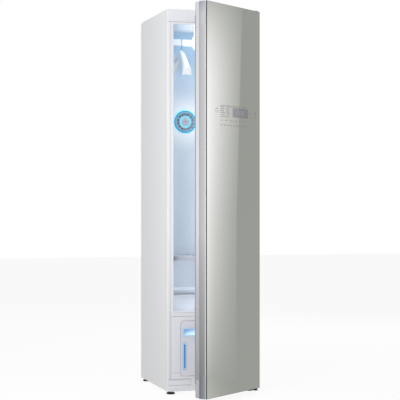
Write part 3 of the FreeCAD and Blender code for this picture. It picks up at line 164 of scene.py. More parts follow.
def mouldedPlastic(name, low, high, rough, coat=0.0):
    paint = Paint(name)
    cloud = paint.noise(4, detail=3)
    return paint.surface(Base_Color=paint.shades(cloud, low, high), Coat_Weight=coat,
                         Roughness=rough - 0.05 + 0.1 * cloud, Normal=paint.grain(0.00004))


def paintedSteel(name, low, high, rough=0.34):
    paint = Paint(name)
    cloud = paint.noise(2.5, detail=3)
    peel = paint.noise(420, detail=1)
    speck = paint.noise(2600)
    return paint.surface(Base_Color=paint.shades(cloud, low, high),
                         Roughness=rough + 0.08 * cloud - 0.04,
                         Normal=paint.bump(peel + 0.3 * speck, 0.00003),
                         Coat_Weight=0.2, Coat_Roughness=0.12)


def brushedMetal(name, low, high, rough, metallic=1.0):
    paint = Paint(name)
    lines = paint.noise(1800, detail=4)
    cloud = paint.noise(5)
    return paint.surface(Base_Color=paint.shades(lines, low, high),
                         Metallic=metallic, Roughness=rough - 0.08 + 0.16 * lines + 0.04 * cloud,
                         Normal=paint.bump(lines, 0.00002))


def zincSteel(name, low, high):
    paint = Paint(name)
    flake = paint.add("ShaderNodeSeparateColor", None, {0: paint.cells(210, "Color")})
    cloud = paint.noise(14)
    return paint.surface(Base_Color=paint.shades(flake, low, high), Metallic=0.85,
                         Roughness=0.34 + 0.14 * flake + 0.08 * cloud,
                         Normal=paint.bump(flake, 0.00002))


def foamBoard(name, low, high):
    paint = Paint(name)
    beads = paint.cells(320)
    return paint.surface(Base_Color=paint.shades(beads, high, low),
                         Roughness=0.85 + 0.1 * beads, Normal=paint.bump(1 - beads, 0.0008))


def rubber(name, low, high, rough=0.6):
    paint = Paint(name)
    fine = paint.noise(900)
    dust = paint.noise(30, detail=4)
    return paint.surface(Base_Color=paint.shades(dust, low, high),
                         Roughness=rough + 0.15 * dust, Normal=paint.bump(fine, 0.00008))


def clearPlastic(name, low, high, rough, alpha):
    paint = Paint(name)
    cloud = paint.noise(8)
    return paint.surface(Base_Color=paint.shades(cloud, low, high),
                         Roughness=rough + 0.06 * cloud, Alpha=alpha + 0.1 * cloud,
                         Coat_Weight=0.6)


def glow(name, low, high, strength):
    paint = Paint(name)
    cloud = paint.noise(12)
    bright = paint.shades(cloud, low, high)
    return paint.surface(Base_Color=bright, Roughness=0.4 + 0.05 * cloud, Emission_Color=bright,
                         Emission_Strength=strength)


# the door at rest: its turn and, in metres, where the glass's face and free edge lie, the width
# of the glass's dark border, and how deep the painted highlight on its side starts
doorTurn = math.radians(37.3)
doorFace = {"sin": math.sin(doorTurn), "cos": math.cos(doorTurn), "front": 0.38609,
            "edge": -0.4539, "border": 0.0026, "pale": 0.0034}


# how far a point lies behind the glass's face
def doorDepth(x, y):
    return doorFace["front"] - (x * doorFace["sin"] - y * doorFace["cos"])


# how far a point lies in from the glass's free edge
def doorInset(x, y):
    return x * doorFace["cos"] + y * doorFace["sin"] - doorFace["edge"]


def mirrorGlass(name, low, high, border):
    paint = Paint(name)
    x, y = paint.axes("xy")
    flow = paint.noise(1.6, (1, 1, 0.4), detail=1)
    silver = paint.shades(flow, low, high)
    outer = doorInset(x, y) < doorFace["border"]
    return paint.surface(Base_Color=paint.mix(outer, silver, shade(*border)), Metallic=1.0,
                         Roughness=0.03 + 0.02 * flow)


def glassEdge(name, low, high, pale=None):
    paint = Paint(name)
    streak = paint.noise(60, (1, 1, 0.05))
    colour = paint.shades(streak, low, high)
    # painted highlight: behind the given depth the glass's side is pale
    if pale:
        x, y = paint.axes("xy")
        colour = paint.mix(doorDepth(x, y) > doorFace["pale"], colour, shade(*pale))
    return paint.surface(Base_Color=colour, Roughness=0.12 + 0.06 * streak, Metallic=0.9)


# the panel's marks, with the glass's reflection painted into them: paler on its bright side
def touchPaint(name, near, far, start, end):
    paint = Paint(name)
    x, y = paint.axes("xy")
    cloud = paint.noise(160)
    across = ((doorInset(x, y) - start) / (end - start) + 0.06 * cloud).clamped()
    return paint.surface(Base_Color=paint.shades(across, near, far),
                         Roughness=0.3 + 0.05 * cloud)


# where the shades of the strips down the door's side change, and where their painted shade and
# light lie, in metres
stripFade = {"top": 0.78, "bottom": 0.1, "start": 0.008, "reach": 0.03, "sole": 0.108,
             "crown": 1.84, "crownReach": 0.055, "upper": 1.0, "frontEdgeLimit": 0.02}


# front and back shades at the top, and painted shade darkening them towards the floor; a painted
# highlight along the front or painted shade along the back, a sole at the foot, and a crown below
# the top, painted lighter
def doorStrip(name, front, back, shadedFront, shadedBack, metallic, rough,
              edgeLighting=None, sole=None, crown=None):
    paint = Paint(name)
    x, y, z = paint.axes()
    fade = stripFade
    # painted shade: towards the floor the strips turn to their shaded front and back colours
    low = ((fade["top"] - z) / (fade["top"] - fade["bottom"])).clamped() ** 0.8
    depth = doorDepth(x, y)
    inwards = ((depth - fade["start"]) / fade["reach"]).clamped()
    grain = paint.noise(1800, (1, 1, 0.012), detail=4)
    light = paint.shades(inwards, front, back)
    dark = paint.shades(inwards, shadedFront, shadedBack)
    colour = paint.mix(low, light, dark)
    if sole:
        colour = paint.mix(z < fade["sole"], colour, shade(*sole))
    # painted light: below the top the strip takes the lighter crown colours
    if crown:
        below = ((fade["crown"] - z) / fade["crownReach"]).clamped() * (z > fade["upper"])
        colour = paint.mix(below, colour, paint.shades(inwards, *crown))
    # painted light and shade along one edge: a highlight along the front, a shadow along the back
    if edgeLighting:
        start, edgeLightingColour = edgeLighting
        beyond = depth < start if start < fade["frontEdgeLimit"] else depth > start
        colour = paint.mix(beyond, colour, shade(*edgeLightingColour))
    return paint.surface(Base_Color=paint.mix(0.1 * grain, colour, dark), Metallic=metallic,
                         Roughness=rough + 0.12 * grain, Normal=paint.bump(grain, 0.00001))


# the rear wall, in metres: the painted glow round the outlet's middle, painted bluer light at its
# top and painted shade at its foot
wallLight = {"start": 0.058, "end": 0.073, "far": 0.16, "strength": 0.75, "top": 1.45,
             "topReach": 0.25, "foot": 0.7, "footReach": 0.06}


# the cavity's mouldings: white along their front edge, with the cavity's blue light painted inside
def linerPlastic(name, inside, deep, front, edge, glowColour=None):
    paint = Paint(name)
    x, y, z = paint.axes()
    cloud = paint.noise(3, detail=3)
    wall = paint.shades(cloud, inside, deep)
    more = {}
    if glowColour:
        lit = wallLight
        # painted light: the wall turns bluer towards its top
        upper = ((z - lit["top"]) / lit["topReach"]).clamped()
        wall = paint.mix(upper, wall, shade(188, 218, 241))
        # painted shade: the wall turns darker and greyer towards its foot
        lower = ((lit["foot"] - z) / lit["footReach"]).clamped()
        wall = paint.mix(lower, wall, shade(202, 210, 219))
        # painted light: the outlet's glow on the wall round its middle, and a faint warm glow wider
        # out
        up = z - nodeMiddle("outlet_bezel").z
        reach = (x * x + up * up) ** 0.5
        halo = ((lit["end"] - reach) / (lit["end"] - lit["start"])).clamped() ** 1.6
        wide = ((lit["far"] - reach) / (lit["far"] - lit["start"])).clamped() ** 1.5
        faint = paint.mix(wide, (0, 0, 0, 1), (0.36, 0.31, 0.27, 1))
        more = {"Emission_Color": paint.mix(halo, faint, shade(*glowColour)),
                "Emission_Strength": lit["strength"]}
    inner = ((y - edge) / 0.004).clamped()
    return paint.surface(Base_Color=paint.mix(inner, shade(*front), wall),
                         Roughness=0.3 + 0.08 * cloud, Normal=paint.grain(0.00003),
                         Coat_Weight=0.15, **more)


# the left edge of each drawer's grip in mm, and where light is painted on the drawers, in metres
gripLeft = {"supply": -140.5, "drain": -35.5}
drawerLight = {"gauge": 0.004, "gaugeLow": 0.126, "gaugeHigh": 0.24, "gaugeReach": 0.019,
               "gripWide": 0.07, "gripLow": 0.283, "gripHigh": 0.312, "gripReach": 0.05,
               "fadeWide": 0.085, "fadeTall": 0.032, "stretch": 1.6}


# the finger recess: painted light, blue from its upper left corner, fading to the front's own
# colour
def gripGlow(name, left):
    paint = Paint(name)
    x, z = paint.axes("xz")
    across = ((x - left * mm) / drawerLight["fadeWide"]).clamped()
    down = ((drawerLight["gripHigh"] - z) / drawerLight["fadeTall"]).clamped()
    fade = (0.8 * across + 0.75 * down).clamped()
    cloud = paint.noise(30)
    colour = paint.mix(fade ** 0.7, shade(48, 176, 236), shade(218, 234, 246))
    return paint.surface(Base_Color=colour, Roughness=0.25 + 0.05 * cloud, Emission_Color=colour,
                         Emission_Strength=0.26, Coat_Weight=0.2)


# the drawer fronts, with painted light spilling on to them from the level windows and the grips
def drawerPlastic(name, low, high):
    paint = Paint(name)
    x, z = paint.axes("xz")
    lit = drawerLight
    cloud = paint.noise(4, detail=3)
    colour = paint.shades(cloud, low, high)
    above = (z - lit["gaugeHigh"]).clamped() + (lit["gaugeLow"] - z).clamped()
    over = (z - lit["gripHigh"]).clamped() * lit["stretch"] + (lit["gripLow"] - z).clamped()
    for left in gripLeft.values():
        off = x - (left * mm + lit["gauge"])
        reach = (off * off + above * above) ** 0.5
        spill = (1 - reach / lit["gaugeReach"]).clamped()
        colour = paint.mix(0.7 * spill, colour, shade(150, 208, 250))
        right = left * mm + lit["gripWide"]
        beside = ((x - right).clamped() + (left * mm - x).clamped()) * lit["stretch"]
        reach = (beside * beside + over * over) ** 0.5
        spill = (1 - reach / lit["gripReach"]).clamped()
        colour = paint.mix(0.6 * spill * spill, colour, shade(190, 222, 252))
    return paint.surface(Base_Color=colour, Roughness=0.2 + 0.06 * cloud,
                         Normal=paint.grain(0.00003), Coat_Weight=0.4)


# the level window's printed scale, in metres and as a share of its step
gaugeScale = {"step": 0.0125, "line": 0.07}


# the level window: blue water with a printed scale, and a painted glow
def gaugeWindow(name, low, high, mark):
    paint = Paint(name)
    [z] = paint.axes("z")
    cloud = paint.noise(40)
    water = paint.shades(cloud, low, high)
    step = paint.add("ShaderNodeMath", {"operation": "FRACT"}, {0: z / gaugeScale["step"]})
    colour = paint.mix((step < gaugeScale["line"]) * 0.6, water, shade(*mark))
    return paint.surface(Base_Color=colour, Roughness=0.3 + 0.04 * cloud, Emission_Color=colour,
                         Emission_Strength=0.2, Coat_Weight=0.2)


# the finishes by the function that makes them: each one's material and its arguments
finishRows = {
    paintedSteel: {
        "casing": ("casingPaint", (233, 234, 236), (239, 240, 242)),
        "black": ("compressorPaint", (26, 27, 29), (42, 43, 46), 0.4),
    },
    mouldedPlastic: {
        "frontPlastic": ("frontPlastic", (238, 239, 244), (244, 245, 249), 0.3, 0.2),
        "rail": ("railPlastic", (243, 246, 251), (251, 253, 255), 0.3, 0.4),
        "hanger": ("hangerPlastic", (246, 248, 251), (253, 254, 255), 0.32, 0.3),
        "shelfWire": ("shelfWireCoating", (214, 222, 236), (224, 231, 243), 0.3, 0.4),
        "shelfRail": ("shelfRailPlastic", (198, 200, 212), (207, 209, 220), 0.34, 0.3),
        "grille": ("grillePlastic", (240, 244, 250), (246, 249, 253), 0.45),
        "steamHood": ("hoodPlastic", (225, 234, 245), (231, 239, 249), 0.35),
        "lid": ("lidPlastic", (206, 212, 224), (216, 222, 232), 0.4),
        "darkPlastic": ("darkPlastic", (52, 54, 60), (66, 68, 74), 0.45),
        "greyPlastic": ("greyPlastic", (150, 154, 162), (170, 174, 180), 0.45),
        "board": ("boardLacquer", (24, 74, 52), (34, 92, 64), 0.35, 0.4),
        "chip": ("chipResin", (28, 28, 30), (44, 44, 46), 0.4),
        "fanPlastic": ("fanPlastic", (150, 154, 176), (168, 172, 192), 0.4),
        "ductPlastic": ("ductPlastic", (232, 240, 252), (238, 245, 254), 0.45),
    },
    # liners: inside shades carrying the painted blue light, the front edge's white, where the
    # inside starts, and the painted glow's colour
    linerPlastic: {
        "liner": ("linerPlastic", (225, 232, 240), (230, 236, 243), (243, 244, 247), -0.2565),
        "rearLiner": ("rearLinerPlastic", (223, 232, 240), (229, 237, 244), (229, 237, 244), -0.3,
                      (80, 226, 255)),
        "ceiling": ("ceilingPlastic", (232, 239, 246), (238, 243, 249), (244, 246, 250), -0.2545),
        "floor": ("floorPlastic", (238, 241, 248), (243, 246, 251), (238, 238, 245), -0.25),
    },
    brushedMetal: {
        "wire": ("hookWire", (150, 158, 168), (182, 188, 196), 0.25),
        "shelfBar": ("shelfBarSteel", (116, 128, 158), (136, 148, 178), 0.32, 0.6),
        "guard": ("guardMetal", (186, 184, 202), (230, 228, 238), 0.3, 0.25),
        "guardRim": ("guardRimMetal", (40, 158, 204), (70, 190, 228), 0.3, 0.5),
        "guardHub": ("guardHubMetal", (206, 200, 212), (232, 226, 234), 0.3, 0.2),
        "steel": ("shaftSteel", (150, 152, 156), (196, 198, 202), 0.28),
        "screw": ("screwZinc", (172, 174, 178), (212, 213, 216), 0.3),
        "brass": ("pinBrass", (178, 150, 92), (206, 178, 118), 0.3),
        "fins": ("finAluminium", (170, 174, 178), (206, 208, 210), 0.4),
        "copper": ("pipeCopper", (168, 96, 60), (204, 130, 88), 0.3),
        "mesh": ("filterMesh", (180, 186, 196), (208, 212, 220), 0.4, 0.6),
    },
    rubber: {
        "gasket": ("gasketRubber", (128, 131, 139), (142, 145, 152)),
        # painted shade: grey beads standing in for the shadow in the joints of the door's sides
        "doorJointShade": ("sealRubber", (150, 151, 158), (160, 161, 168)),
        # painted shade: dark strips standing in for the shadow in the gaps of the front
        "seam": ("seamRubber", (128, 130, 138), (144, 146, 154)),
        "foot": ("footRubber", (24, 24, 26), (44, 44, 46), 0.5),
        "hose": ("hoseRubber", (196, 198, 198), (216, 218, 218), 0.4),
    },
    glow: {
        "lightRing": ("ringGlow", (56, 150, 184), (84, 178, 202), 0.46),
        "hubRing": ("hubRingGlow", (118, 200, 214), (146, 216, 226), 0.36),
        "lamp": ("lampGlow", (232, 242, 255), (244, 250, 255), 2.2),
    },
    # door strips: front and back shades, their painted shade near the floor, metallic, roughness,
    # then a painted edge line, a sole and a painted lighter crown
    doorStrip: {
        "trim": ("trimMetal", (213, 212, 214), (190, 191, 194), (144, 146, 146), (130, 130, 131),
                 0.9, 0.3, (0.0096, (228, 228, 229))),
        "cap": ("capPlastic", (170, 173, 184), (148, 152, 163), (150, 153, 162), (110, 113, 121),
                0.1, 0.3, (0.0096, (196, 198, 202)), None, ((196, 196, 200), (172, 174, 178))),
        "carrier": ("carrierSheet", (244, 244, 244), (236, 236, 236), (196, 197, 197),
                    (188, 189, 189), 0.3, 0.35),
        "doorLiner": ("doorLinerPlastic", (198, 199, 201), (198, 199, 201), (156, 156, 160),
                      (156, 156, 160), 0.0, 0.34, (0.0612, (146, 149, 155)), (184, 185, 189)),
    },
    glassEdge: {
        "glassBevel": ("glassBevel", (14, 15, 14), (24, 25, 24)),
        "glassSide": ("glassSide", (14, 15, 14), (24, 25, 24), (214, 216, 216)),
    },
    touchPaint: {
        "touchMark": ("touchMark", (208, 206, 212), (176, 176, 180), 0.08, 0.26),
        "touchWindow": ("touchWindow", (192, 192, 198), (167, 167, 172), 0.21, 0.29),
        "touchDigit": ("touchDigit", (222, 220, 226), (204, 203, 209), 0.21, 0.29),
    },
    gripGlow: {
        "supplyGrip": ("supplyGripGlow", gripLeft["supply"]),
        "drainGrip": ("drainGripGlow", gripLeft["drain"]),
    },
    drawerPlastic: {"tankFront": ("tankFrontPlastic", (237, 236, 243), (243, 242, 249))},
    clearPlastic: {"tank": ("tankPlastic", (70, 160, 232), (80, 170, 242), 0.15, 0.6)},
    gaugeWindow: {"gauge": ("gaugeWindow", (0, 118, 196), (6, 136, 214), (228, 240, 250))},
    mirrorGlass: {"mirror": ("mirrorGlass", (148, 150, 144), (151, 153, 147), (18, 18, 18))},
    zincSteel: {"zinc": ("zincSteel", (176, 179, 183), (197, 200, 203))},
    foamBoard: {"foam": ("foamBoard", (214, 206, 176), (236, 230, 206))},
}
finishes = {key: kind(*values) for kind, rows in finishRows.items() for key, values in rows.items()}
print("finishes:", len(finishes))


def addObject(name, data):
    made = bpy.data.objects.new(name, data)
    scene.collection.objects.link(made)
    return made


def meshFrom(name, bm):
    mesh = bpy.data.meshes.new(name)
    bm.to_mesh(mesh)
    bm.free()
    return mesh


def finishPiece(name, bm, look, body, flatBelow=32):
    mesh = meshFrom(name, bm)
    if "custom_normal" in mesh.attributes:  # the frame's own, which would keep edges soft
        mesh.attributes.remove(mesh.attributes["custom_normal"])
    mesh.shade_smooth()
    mesh.set_sharp_from_angle(angle=math.radians(flatBelow))
    mesh.materials.append(finishes[look])
    piece = addObject(name, mesh)
    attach(piece, body)
    return piece


# how a node's mesh is welded (mm), thinned out and bevelled (degrees)
skin = {"weld": 0.002, "flat": 0.4, "corner": 35}


# a merged copy of the CAD mesh whose edges catch the light
def softened(node, look, width):
    bm = bmesh.new()
    bm.from_mesh(nodes[node].data)
    bmesh.ops.remove_doubles(bm, verts=bm.verts, dist=skin["weld"] * mm)
    if width:
        bmesh.ops.dissolve_limit(bm, angle_limit=math.radians(skin["flat"]), verts=bm.verts,
                                 edges=bm.edges)
    piece = finishPiece(node + "_skin", bm, look, nodes[node]["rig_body"])
    if width:
        edges = piece.modifiers.new("edges", "BEVEL")
        edges.width, edges.segments, edges.limit_method = width * mm, 2, "ANGLE"
        edges.angle_limit, edges.harden_normals = math.radians(skin["corner"]), True
    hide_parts(node)
    return piece


# the faces whose middle (mm) and normal pass the test take another finish
def recolour(piece, look, chosen):
    mesh = piece.data
    mesh.materials.append(finishes[look])
    for face in mesh.polygons:
        if chosen(face.center / mm, face.normal):
            face.material_index = len(mesh.materials) - 1


# which finish and edge rounding (mm) each CAD node shows with
casingLooks = {
    "left_side_panel": ("casing", 0.4), "right_side_panel": ("casing", 0.4),
    "top_cover": ("casing", 0.4), "back_panel": ("zinc", 0), "base_pan": ("zinc", 0),
    "levelling_feet": ("foot", 0.6), "front_header": ("frontPlastic", 0.5),
    "kick_panel": ("frontPlastic", 0.8), "lower_cover": ("frontPlastic", 0.6),
    "lower_front_panel": ("frontPlastic", 0.9), "power_inlet": ("darkPlastic", 0.3),
    "top_hinge": ("steel", 0.3), "bottom_hinge": ("black", 0.3),
}
cavityLooks = {
    "liner_left": ("liner", 0.6), "liner_right": ("liner", 0.6), "liner_back": ("rearLiner", 0),
    "ceiling_panel": ("ceiling", 0.5), "cavity_floor": ("floor", 0.5),
    "insulation_boards": ("foam", 0), "header_lamp_lens": ("lamp", 0.5),
    "humidity_sensor": ("greyPlastic", 0), "rear_duct": ("ductPlastic", 0),
    "outlet_bezel": ("guard", 0), "outlet_light_ring": ("lightRing", 0),
    "fan_impeller": ("fanPlastic", 0), "fan_motor": ("steel", 0), "rear_grille": ("grille", 0.2),
    "steam_outlet": ("steamHood", 0.3), "lint_filter": ("greyPlastic", 0.2),
    "shelf": ("shelfWire", 0), "hanger_rail": ("rail", 0.4), "drive_crank": ("greyPlastic", 0.2),
    "drive_motor": ("steel", 0.3), "drive_housing": ("greyPlastic", 0.4),
    "hanger_hook": ("wire", 0),
}
lowerLooks = {
    "supply_tank": ("tank", 0.3), "supply_tank_lid": ("lid", 0.3),
    "supply_tank_front": ("tankFront", 0.8), "drain_tank": ("tank", 0.3),
    "drain_tank_lid": ("lid", 0.3), "drain_tank_front": ("tankFront", 0.8),
    "tank_bay": ("greyPlastic", 0), "compressor": ("black", 0), "heat_exchangers": ("fins", 0),
    "blower_housing": ("darkPlastic", 0.4), "blower_wheel": ("greyPlastic", 0),
    "steam_generator": ("steel", 0.4), "water_pumps": ("darkPlastic", 0.3),
    "control_box": ("zinc", 0.4), "hoses": ("hose", 0),
}
doorLooks = {
    "door_glass": ("mirror", 0), "glass_carrier": ("carrier", 0),
    "door_side_trims": ("trim", 0.3), "door_top_cap": ("cap", 0.4),
    "door_bottom_cap": ("cap", 0.4), "door_core": ("foam", 0), "display_board": ("board", 0),
    "door_liner": ("doorLiner", 0.9), "door_gasket": ("gasket", 0.5),
}


def paintNode(node, look):
    mesh = nodes[node].data
    mesh.materials.clear()
    mesh.materials.append(finishes[look])


def dressNodes():
    paintNode("hanger_body", "hanger")  # its piece is shaped afresh further down
    dressed = {}
    for group in (casingLooks, cavityLooks, lowerLooks, doorLooks):
        for node, (look, width) in group.items():
            paintNode(node, look)
            dressed[node] = softened(node, look, width)
    return dressed


dressed = dressNodes()

# the way the door faces at rest, and the cosines that tell the glass's side from its bevel
doorFront = Vector((doorFace["sin"], -doorFace["cos"], 0))
glassTurn = {"side": 0.3, "bevel": 0.95}


def dressGlass():
    def onSide(place, normal):
        return abs(normal.dot(doorFront)) < glassTurn["side"]

    def onBevel(place, normal):
        return glassTurn["side"] <= normal.dot(doorFront) < glassTurn["bevel"]

    recolour(dressed["door_glass"], "glassSide", onSide)
    recolour(dressed["door_glass"], "glassBevel", onBevel)


# the shelf's cross bars and its front rail, in mm
shelfParts = {"radius": 4.0, "step": 120.0, "outer": 130.0, "top": 654.6, "railBack": -193.4}


def dressShelf():
    def onRail(place, normal):
        return place.y < shelfParts["railBack"]

    def onBar(place, normal):
        off = place.x - shelfParts["step"] * round(place.x / shelfParts["step"])
        return (shelfParts["railBack"] < place.y and place.z < shelfParts["top"]
                and abs(off) < shelfParts["radius"] and abs(place.x) < shelfParts["outer"])

    recolour(dressed["shelf"], "shelfRail", onRail)
    recolour(dressed["shelf"], "shelfBar", onBar)


# the outlet's rim stands a little wider and lower (mm) than its bore; its finishes change at
# these radii
outletRim = {"wider": 1.07, "lower": 2.0, "rim": 50.5, "hub": 19.7, "hubRing": 38}


def dressOutlet():
    middle = nodeMiddle("outlet_bezel")
    place = Matrix.Translation(middle)
    shape = Matrix.Diagonal((outletRim["wider"], 1, outletRim["wider"], 1))
    lower = Matrix.Translation((0, 0, -outletRim["lower"] * mm))
    for node in ("outlet_bezel", "outlet_light_ring"):
        dressed[node].data.transform(lower @ place @ shape @ place.inverted())

    def reach(place):
        return math.hypot(place.x, place.z - middle.z / mm)

    recolour(dressed["outlet_bezel"], "guardRim",
             lambda place, normal: reach(place) > outletRim["rim"])
    recolour(dressed["outlet_bezel"], "guardHub",
             lambda place, normal: reach(place) < outletRim["hub"])
    recolour(dressed["outlet_light_ring"], "hubRing",
             lambda place, normal: reach(place) < outletRim["hubRing"])


# the level windows' face and the grips' hollows, in mm
tankFace = {"gauge": -234.2, "front": -257.2, "back": -234.5, "low": 282, "high": 317,
            "play": 0.5, "wide": 71.5}


def dressTanks():
    for tank, left in gripLeft.items():
        def inGrip(place, normal):
            return (tankFace["front"] < place.y < tankFace["back"]
                    and tankFace["low"] < place.z < tankFace["high"]
                    and left - tankFace["play"] < place.x < left + tankFace["wide"])

        recolour(dressed[tank + "_tank"], "gauge",
                 lambda place, normal: place.y < tankFace["gauge"])
        recolour(dressed[tank + "_tank_front"], tank + "Grip", inGrip)


dressGlass()
dressShelf()
dressOutlet()
dressTanks()
print("cabinet dressed")

upwards, downwards, forwards, rightwards = (0, 0, 1), (0, 0, -1), (0, -1, 0), (1, 0, 0)


def moved(x, y, z):
    return Matrix.Translation(Vector((x, y, z)) * mm)


# the turn from Z to another axis
def along(axis):
    return Vector(axis).to_track_quat("Z", "Y").to_matrix().to_4x4()


def addBlock(bm, low, high, rounding=0.0, segments=2):
    low, high = Vector(low) * mm, Vector(high) * mm
    made = bmesh.ops.create_cube(bm, size=1.0)["verts"]
    place = Matrix.Translation((low + high) / 2) @ Matrix.Diagonal((*(high - low), 1))
    bmesh.ops.transform(bm, matrix=place, verts=made)
    if rounding:
        edges = list({edge for vert in made for edge in vert.link_edges})
        bmesh.ops.bevel(bm, geom=edges, offset=rounding * mm, segments=segments, affect="EDGES",
                        profile=0.5, material=-1)


def addDisc(bm, place, radius, tip, depth, axis, segments):
    made = bmesh.ops.create_cone(bm, cap_ends=True, segments=segments, radius1=radius * mm,
                                 radius2=tip * mm, depth=depth * mm)["verts"]
    where = moved(*place) @ along(axis) @ moved(0, 0, depth / 2)
    bmesh.ops.transform(bm, matrix=where, verts=made)


# shares of a screw head's radius: its height, its top, and the two arms of the cross on it
screwHead = {"height": 0.5, "top": 0.72, "arms": ((1.1, 0.22), (0.22, 1.1)), "armHeight": 0.52,
             "armDepth": 0.1}


def addScrew(bm, place, axis, radius):
    addDisc(bm, place, radius, screwHead["top"] * radius, screwHead["height"] * radius, axis, 20)
    seat = moved(*place) @ along(axis) @ moved(0, 0, screwHead["armHeight"] * radius)
    unit = radius * mm
    for length, width in screwHead["arms"]:
        made = bmesh.ops.create_cube(bm, size=1.0)["verts"]
        arm = Matrix.Diagonal((length * unit, width * unit, screwHead["armDepth"] * unit, 1))
        bmesh.ops.transform(bm, matrix=seat @ arm, verts=made)


# adds a shape made on its own, placed and with its faces turned outwards
def joinShape(bm, shape, matrix):
    bmesh.ops.remove_doubles(shape, verts=shape.verts, dist=0.001 * mm)
    bmesh.ops.recalc_face_normals(shape, faces=shape.faces)
    bmesh.ops.transform(shape, matrix=matrix, verts=shape.verts)
    mesh = meshFrom("shape", shape)
    bm.from_mesh(mesh)
    bpy.data.meshes.remove(mesh)


# a closed profile of (radius, height) points spun about an axis
def addTurned(bm, place, profile, axis=upwards, steps=24):
    shape = bmesh.new()
    verts = [shape.verts.new((radius * mm, 0, up * mm)) for radius, up in profile]
    edges = [shape.edges.new(pair) for pair in zip(verts, verts[1:] + verts[:1])]
    bmesh.ops.spin(shape, geom=verts + edges, cent=(0, 0, 0), axis=(0, 0, 1), angle=math.tau,
                   steps=steps, use_merge=True)
    joinShape(bm, shape, moved(*place) @ along(axis))


hingeLine = {"x": 202.5, "y": -313.5}


# turns a shape drawn on the closed door to the door's place at rest
def finishOnDoor(name, bm, look):
    x, y = hingeLine["x"], hingeLine["y"]
    turn = moved(x, y, 0) @ Matrix.Rotation(doorTurn, 4, "Z") @ moved(-x, -y, 0)
    bmesh.ops.transform(bm, matrix=turn, verts=bm.verts)
    finishPiece(name, bm, look, "door")


# thin dark strips in the joints of the front, painted shade that stands in for the shadow in the
# gaps, in mm: uprights as low, high and half width, levels as left, right, height and half width
seamLine = {"front": -257.54, "back": -256.9, "side": 206.0,
            "uprights": ((74, 400, 0.8), (400, 1790, 0.5)),
            "levels": ((-222, 222, 1790, 0.8), (-190, 190, 392.7, 0.5), (-206, 206, 374.5, 0.7),
                       (-217.2, -105.6, 73.4, 0.7), (-217.2, -105.6, 44.4, 0.7),
                       (-205, -159, 104.6, 0.4)),
            "coverEnd": (-106, -105, 44.4, 73.4)}
doorBead = {"inner": 220.8, "outer": 222.5, "front": -287.4, "back": -284.6, "low": 26,
            "high": 1844, "rounding": 0.3}


def addSeam(bm, left, right, low, high):
    addBlock(bm, (left, seamLine["front"], low), (right, seamLine["back"], high))


def makeSeams():
    bm = bmesh.new()
    for middle in (-seamLine["side"], seamLine["side"]):
        for low, high, half in seamLine["uprights"]:
            addSeam(bm, middle - half, middle + half, low, high)
    for left, right, height, half in seamLine["levels"]:
        addSeam(bm, left, right, height - half, height + half)
    addSeam(bm, *seamLine["coverEnd"])
    finishPiece("front_seam_shade_strips", bm, "seam", "cabinet")


# grey beads in the joint along the door's sides: painted shade standing in for the shadow there
def makeDoorBeads():
    bm = bmesh.new()
    for side in (-1, 1):
        left, right = sorted((side * doorBead["inner"], side * doorBead["outer"]))
        addBlock(bm, (left, doorBead["front"], doorBead["low"]),
                 (right, doorBead["back"], doorBead["high"]), doorBead["rounding"], 1)
    finishOnDoor("door_joint_shade_beads", bm, "doorJointShade")


# what shows on the lit glass, in mm on the closed door
touchPanel = {"y": -327.62, "thin": 0.2, "left": -112,
              "ring": (-141, 1349, 8.5, 11, 32), "stem": (-142, -140, 1353, 1363),
              "rows": {"count": 6, "top": 1370, "pitch": 9, "tall": 3.6, "ends": (-82, -73),
                       "second": -66, "secondEnds": (-36, -40, -44)},
              "rule": (-112, 106, 1372.5, 1375.5),
              "dots": {"places": (140, 178), "height": 1350, "inner": 5, "outer": 8, "steps": 24,
                       "barLow": 1327, "barHigh": 1332},
              "dashes": ({"count": 6, "pitch": 38, "long": 22, "low": 1304, "high": 1307},
                         {"count": 9, "pitch": 26, "long": 14, "low": 1281, "high": 1286}),
              "window": (-12, 118, 1323, 1368), "digits": "0123", "digitSize": 30}


def addBar(bm, left, right, low, high, rise=0.0):
    front = touchPanel["y"] + rise
    addBlock(bm, (left, front, low), (right, front + touchPanel["thin"], high))


def addRing(bm, x, z, inner, outer, steps):
    thin = touchPanel["thin"]
    profile = [(inner, 0), (outer, 0), (outer, thin), (inner, thin)]
    addTurned(bm, (x, touchPanel["y"] + thin, z), profile, forwards, steps)


def makeTouchMarks():
    bm = bmesh.new()
    addRing(bm, *touchPanel["ring"])
    addBar(bm, *touchPanel["stem"])
    rows, dots = touchPanel["rows"], touchPanel["dots"]
    for row in range(rows["count"]):
        high = rows["top"] - rows["pitch"] * row
        low = high - rows["tall"]
        addBar(bm, touchPanel["left"], rows["ends"][row % 2], low, high)
        addBar(bm, rows["second"], rows["secondEnds"][row % 3], low, high)
    addBar(bm, *touchPanel["rule"])
    for x in dots["places"]:
        addRing(bm, x, dots["height"], dots["inner"], dots["outer"], dots["steps"])
        addBar(bm, x - dots["outer"], x + dots["outer"], dots["barLow"], dots["barHigh"])
    for dash in touchPanel["dashes"]:
        for step in range(dash["count"]):
            left = touchPanel["left"] + dash["pitch"] * step
            addBar(bm, left, left + dash["long"], dash["low"], dash["high"])
    finishOnDoor("touch_panel_marks", bm, "touchMark")


def makeTouchWindow():
    bm = bmesh.new()
    addBar(bm, *touchPanel["window"], 0.04)
    finishOnDoor("touch_panel_window", bm, "touchWindow")


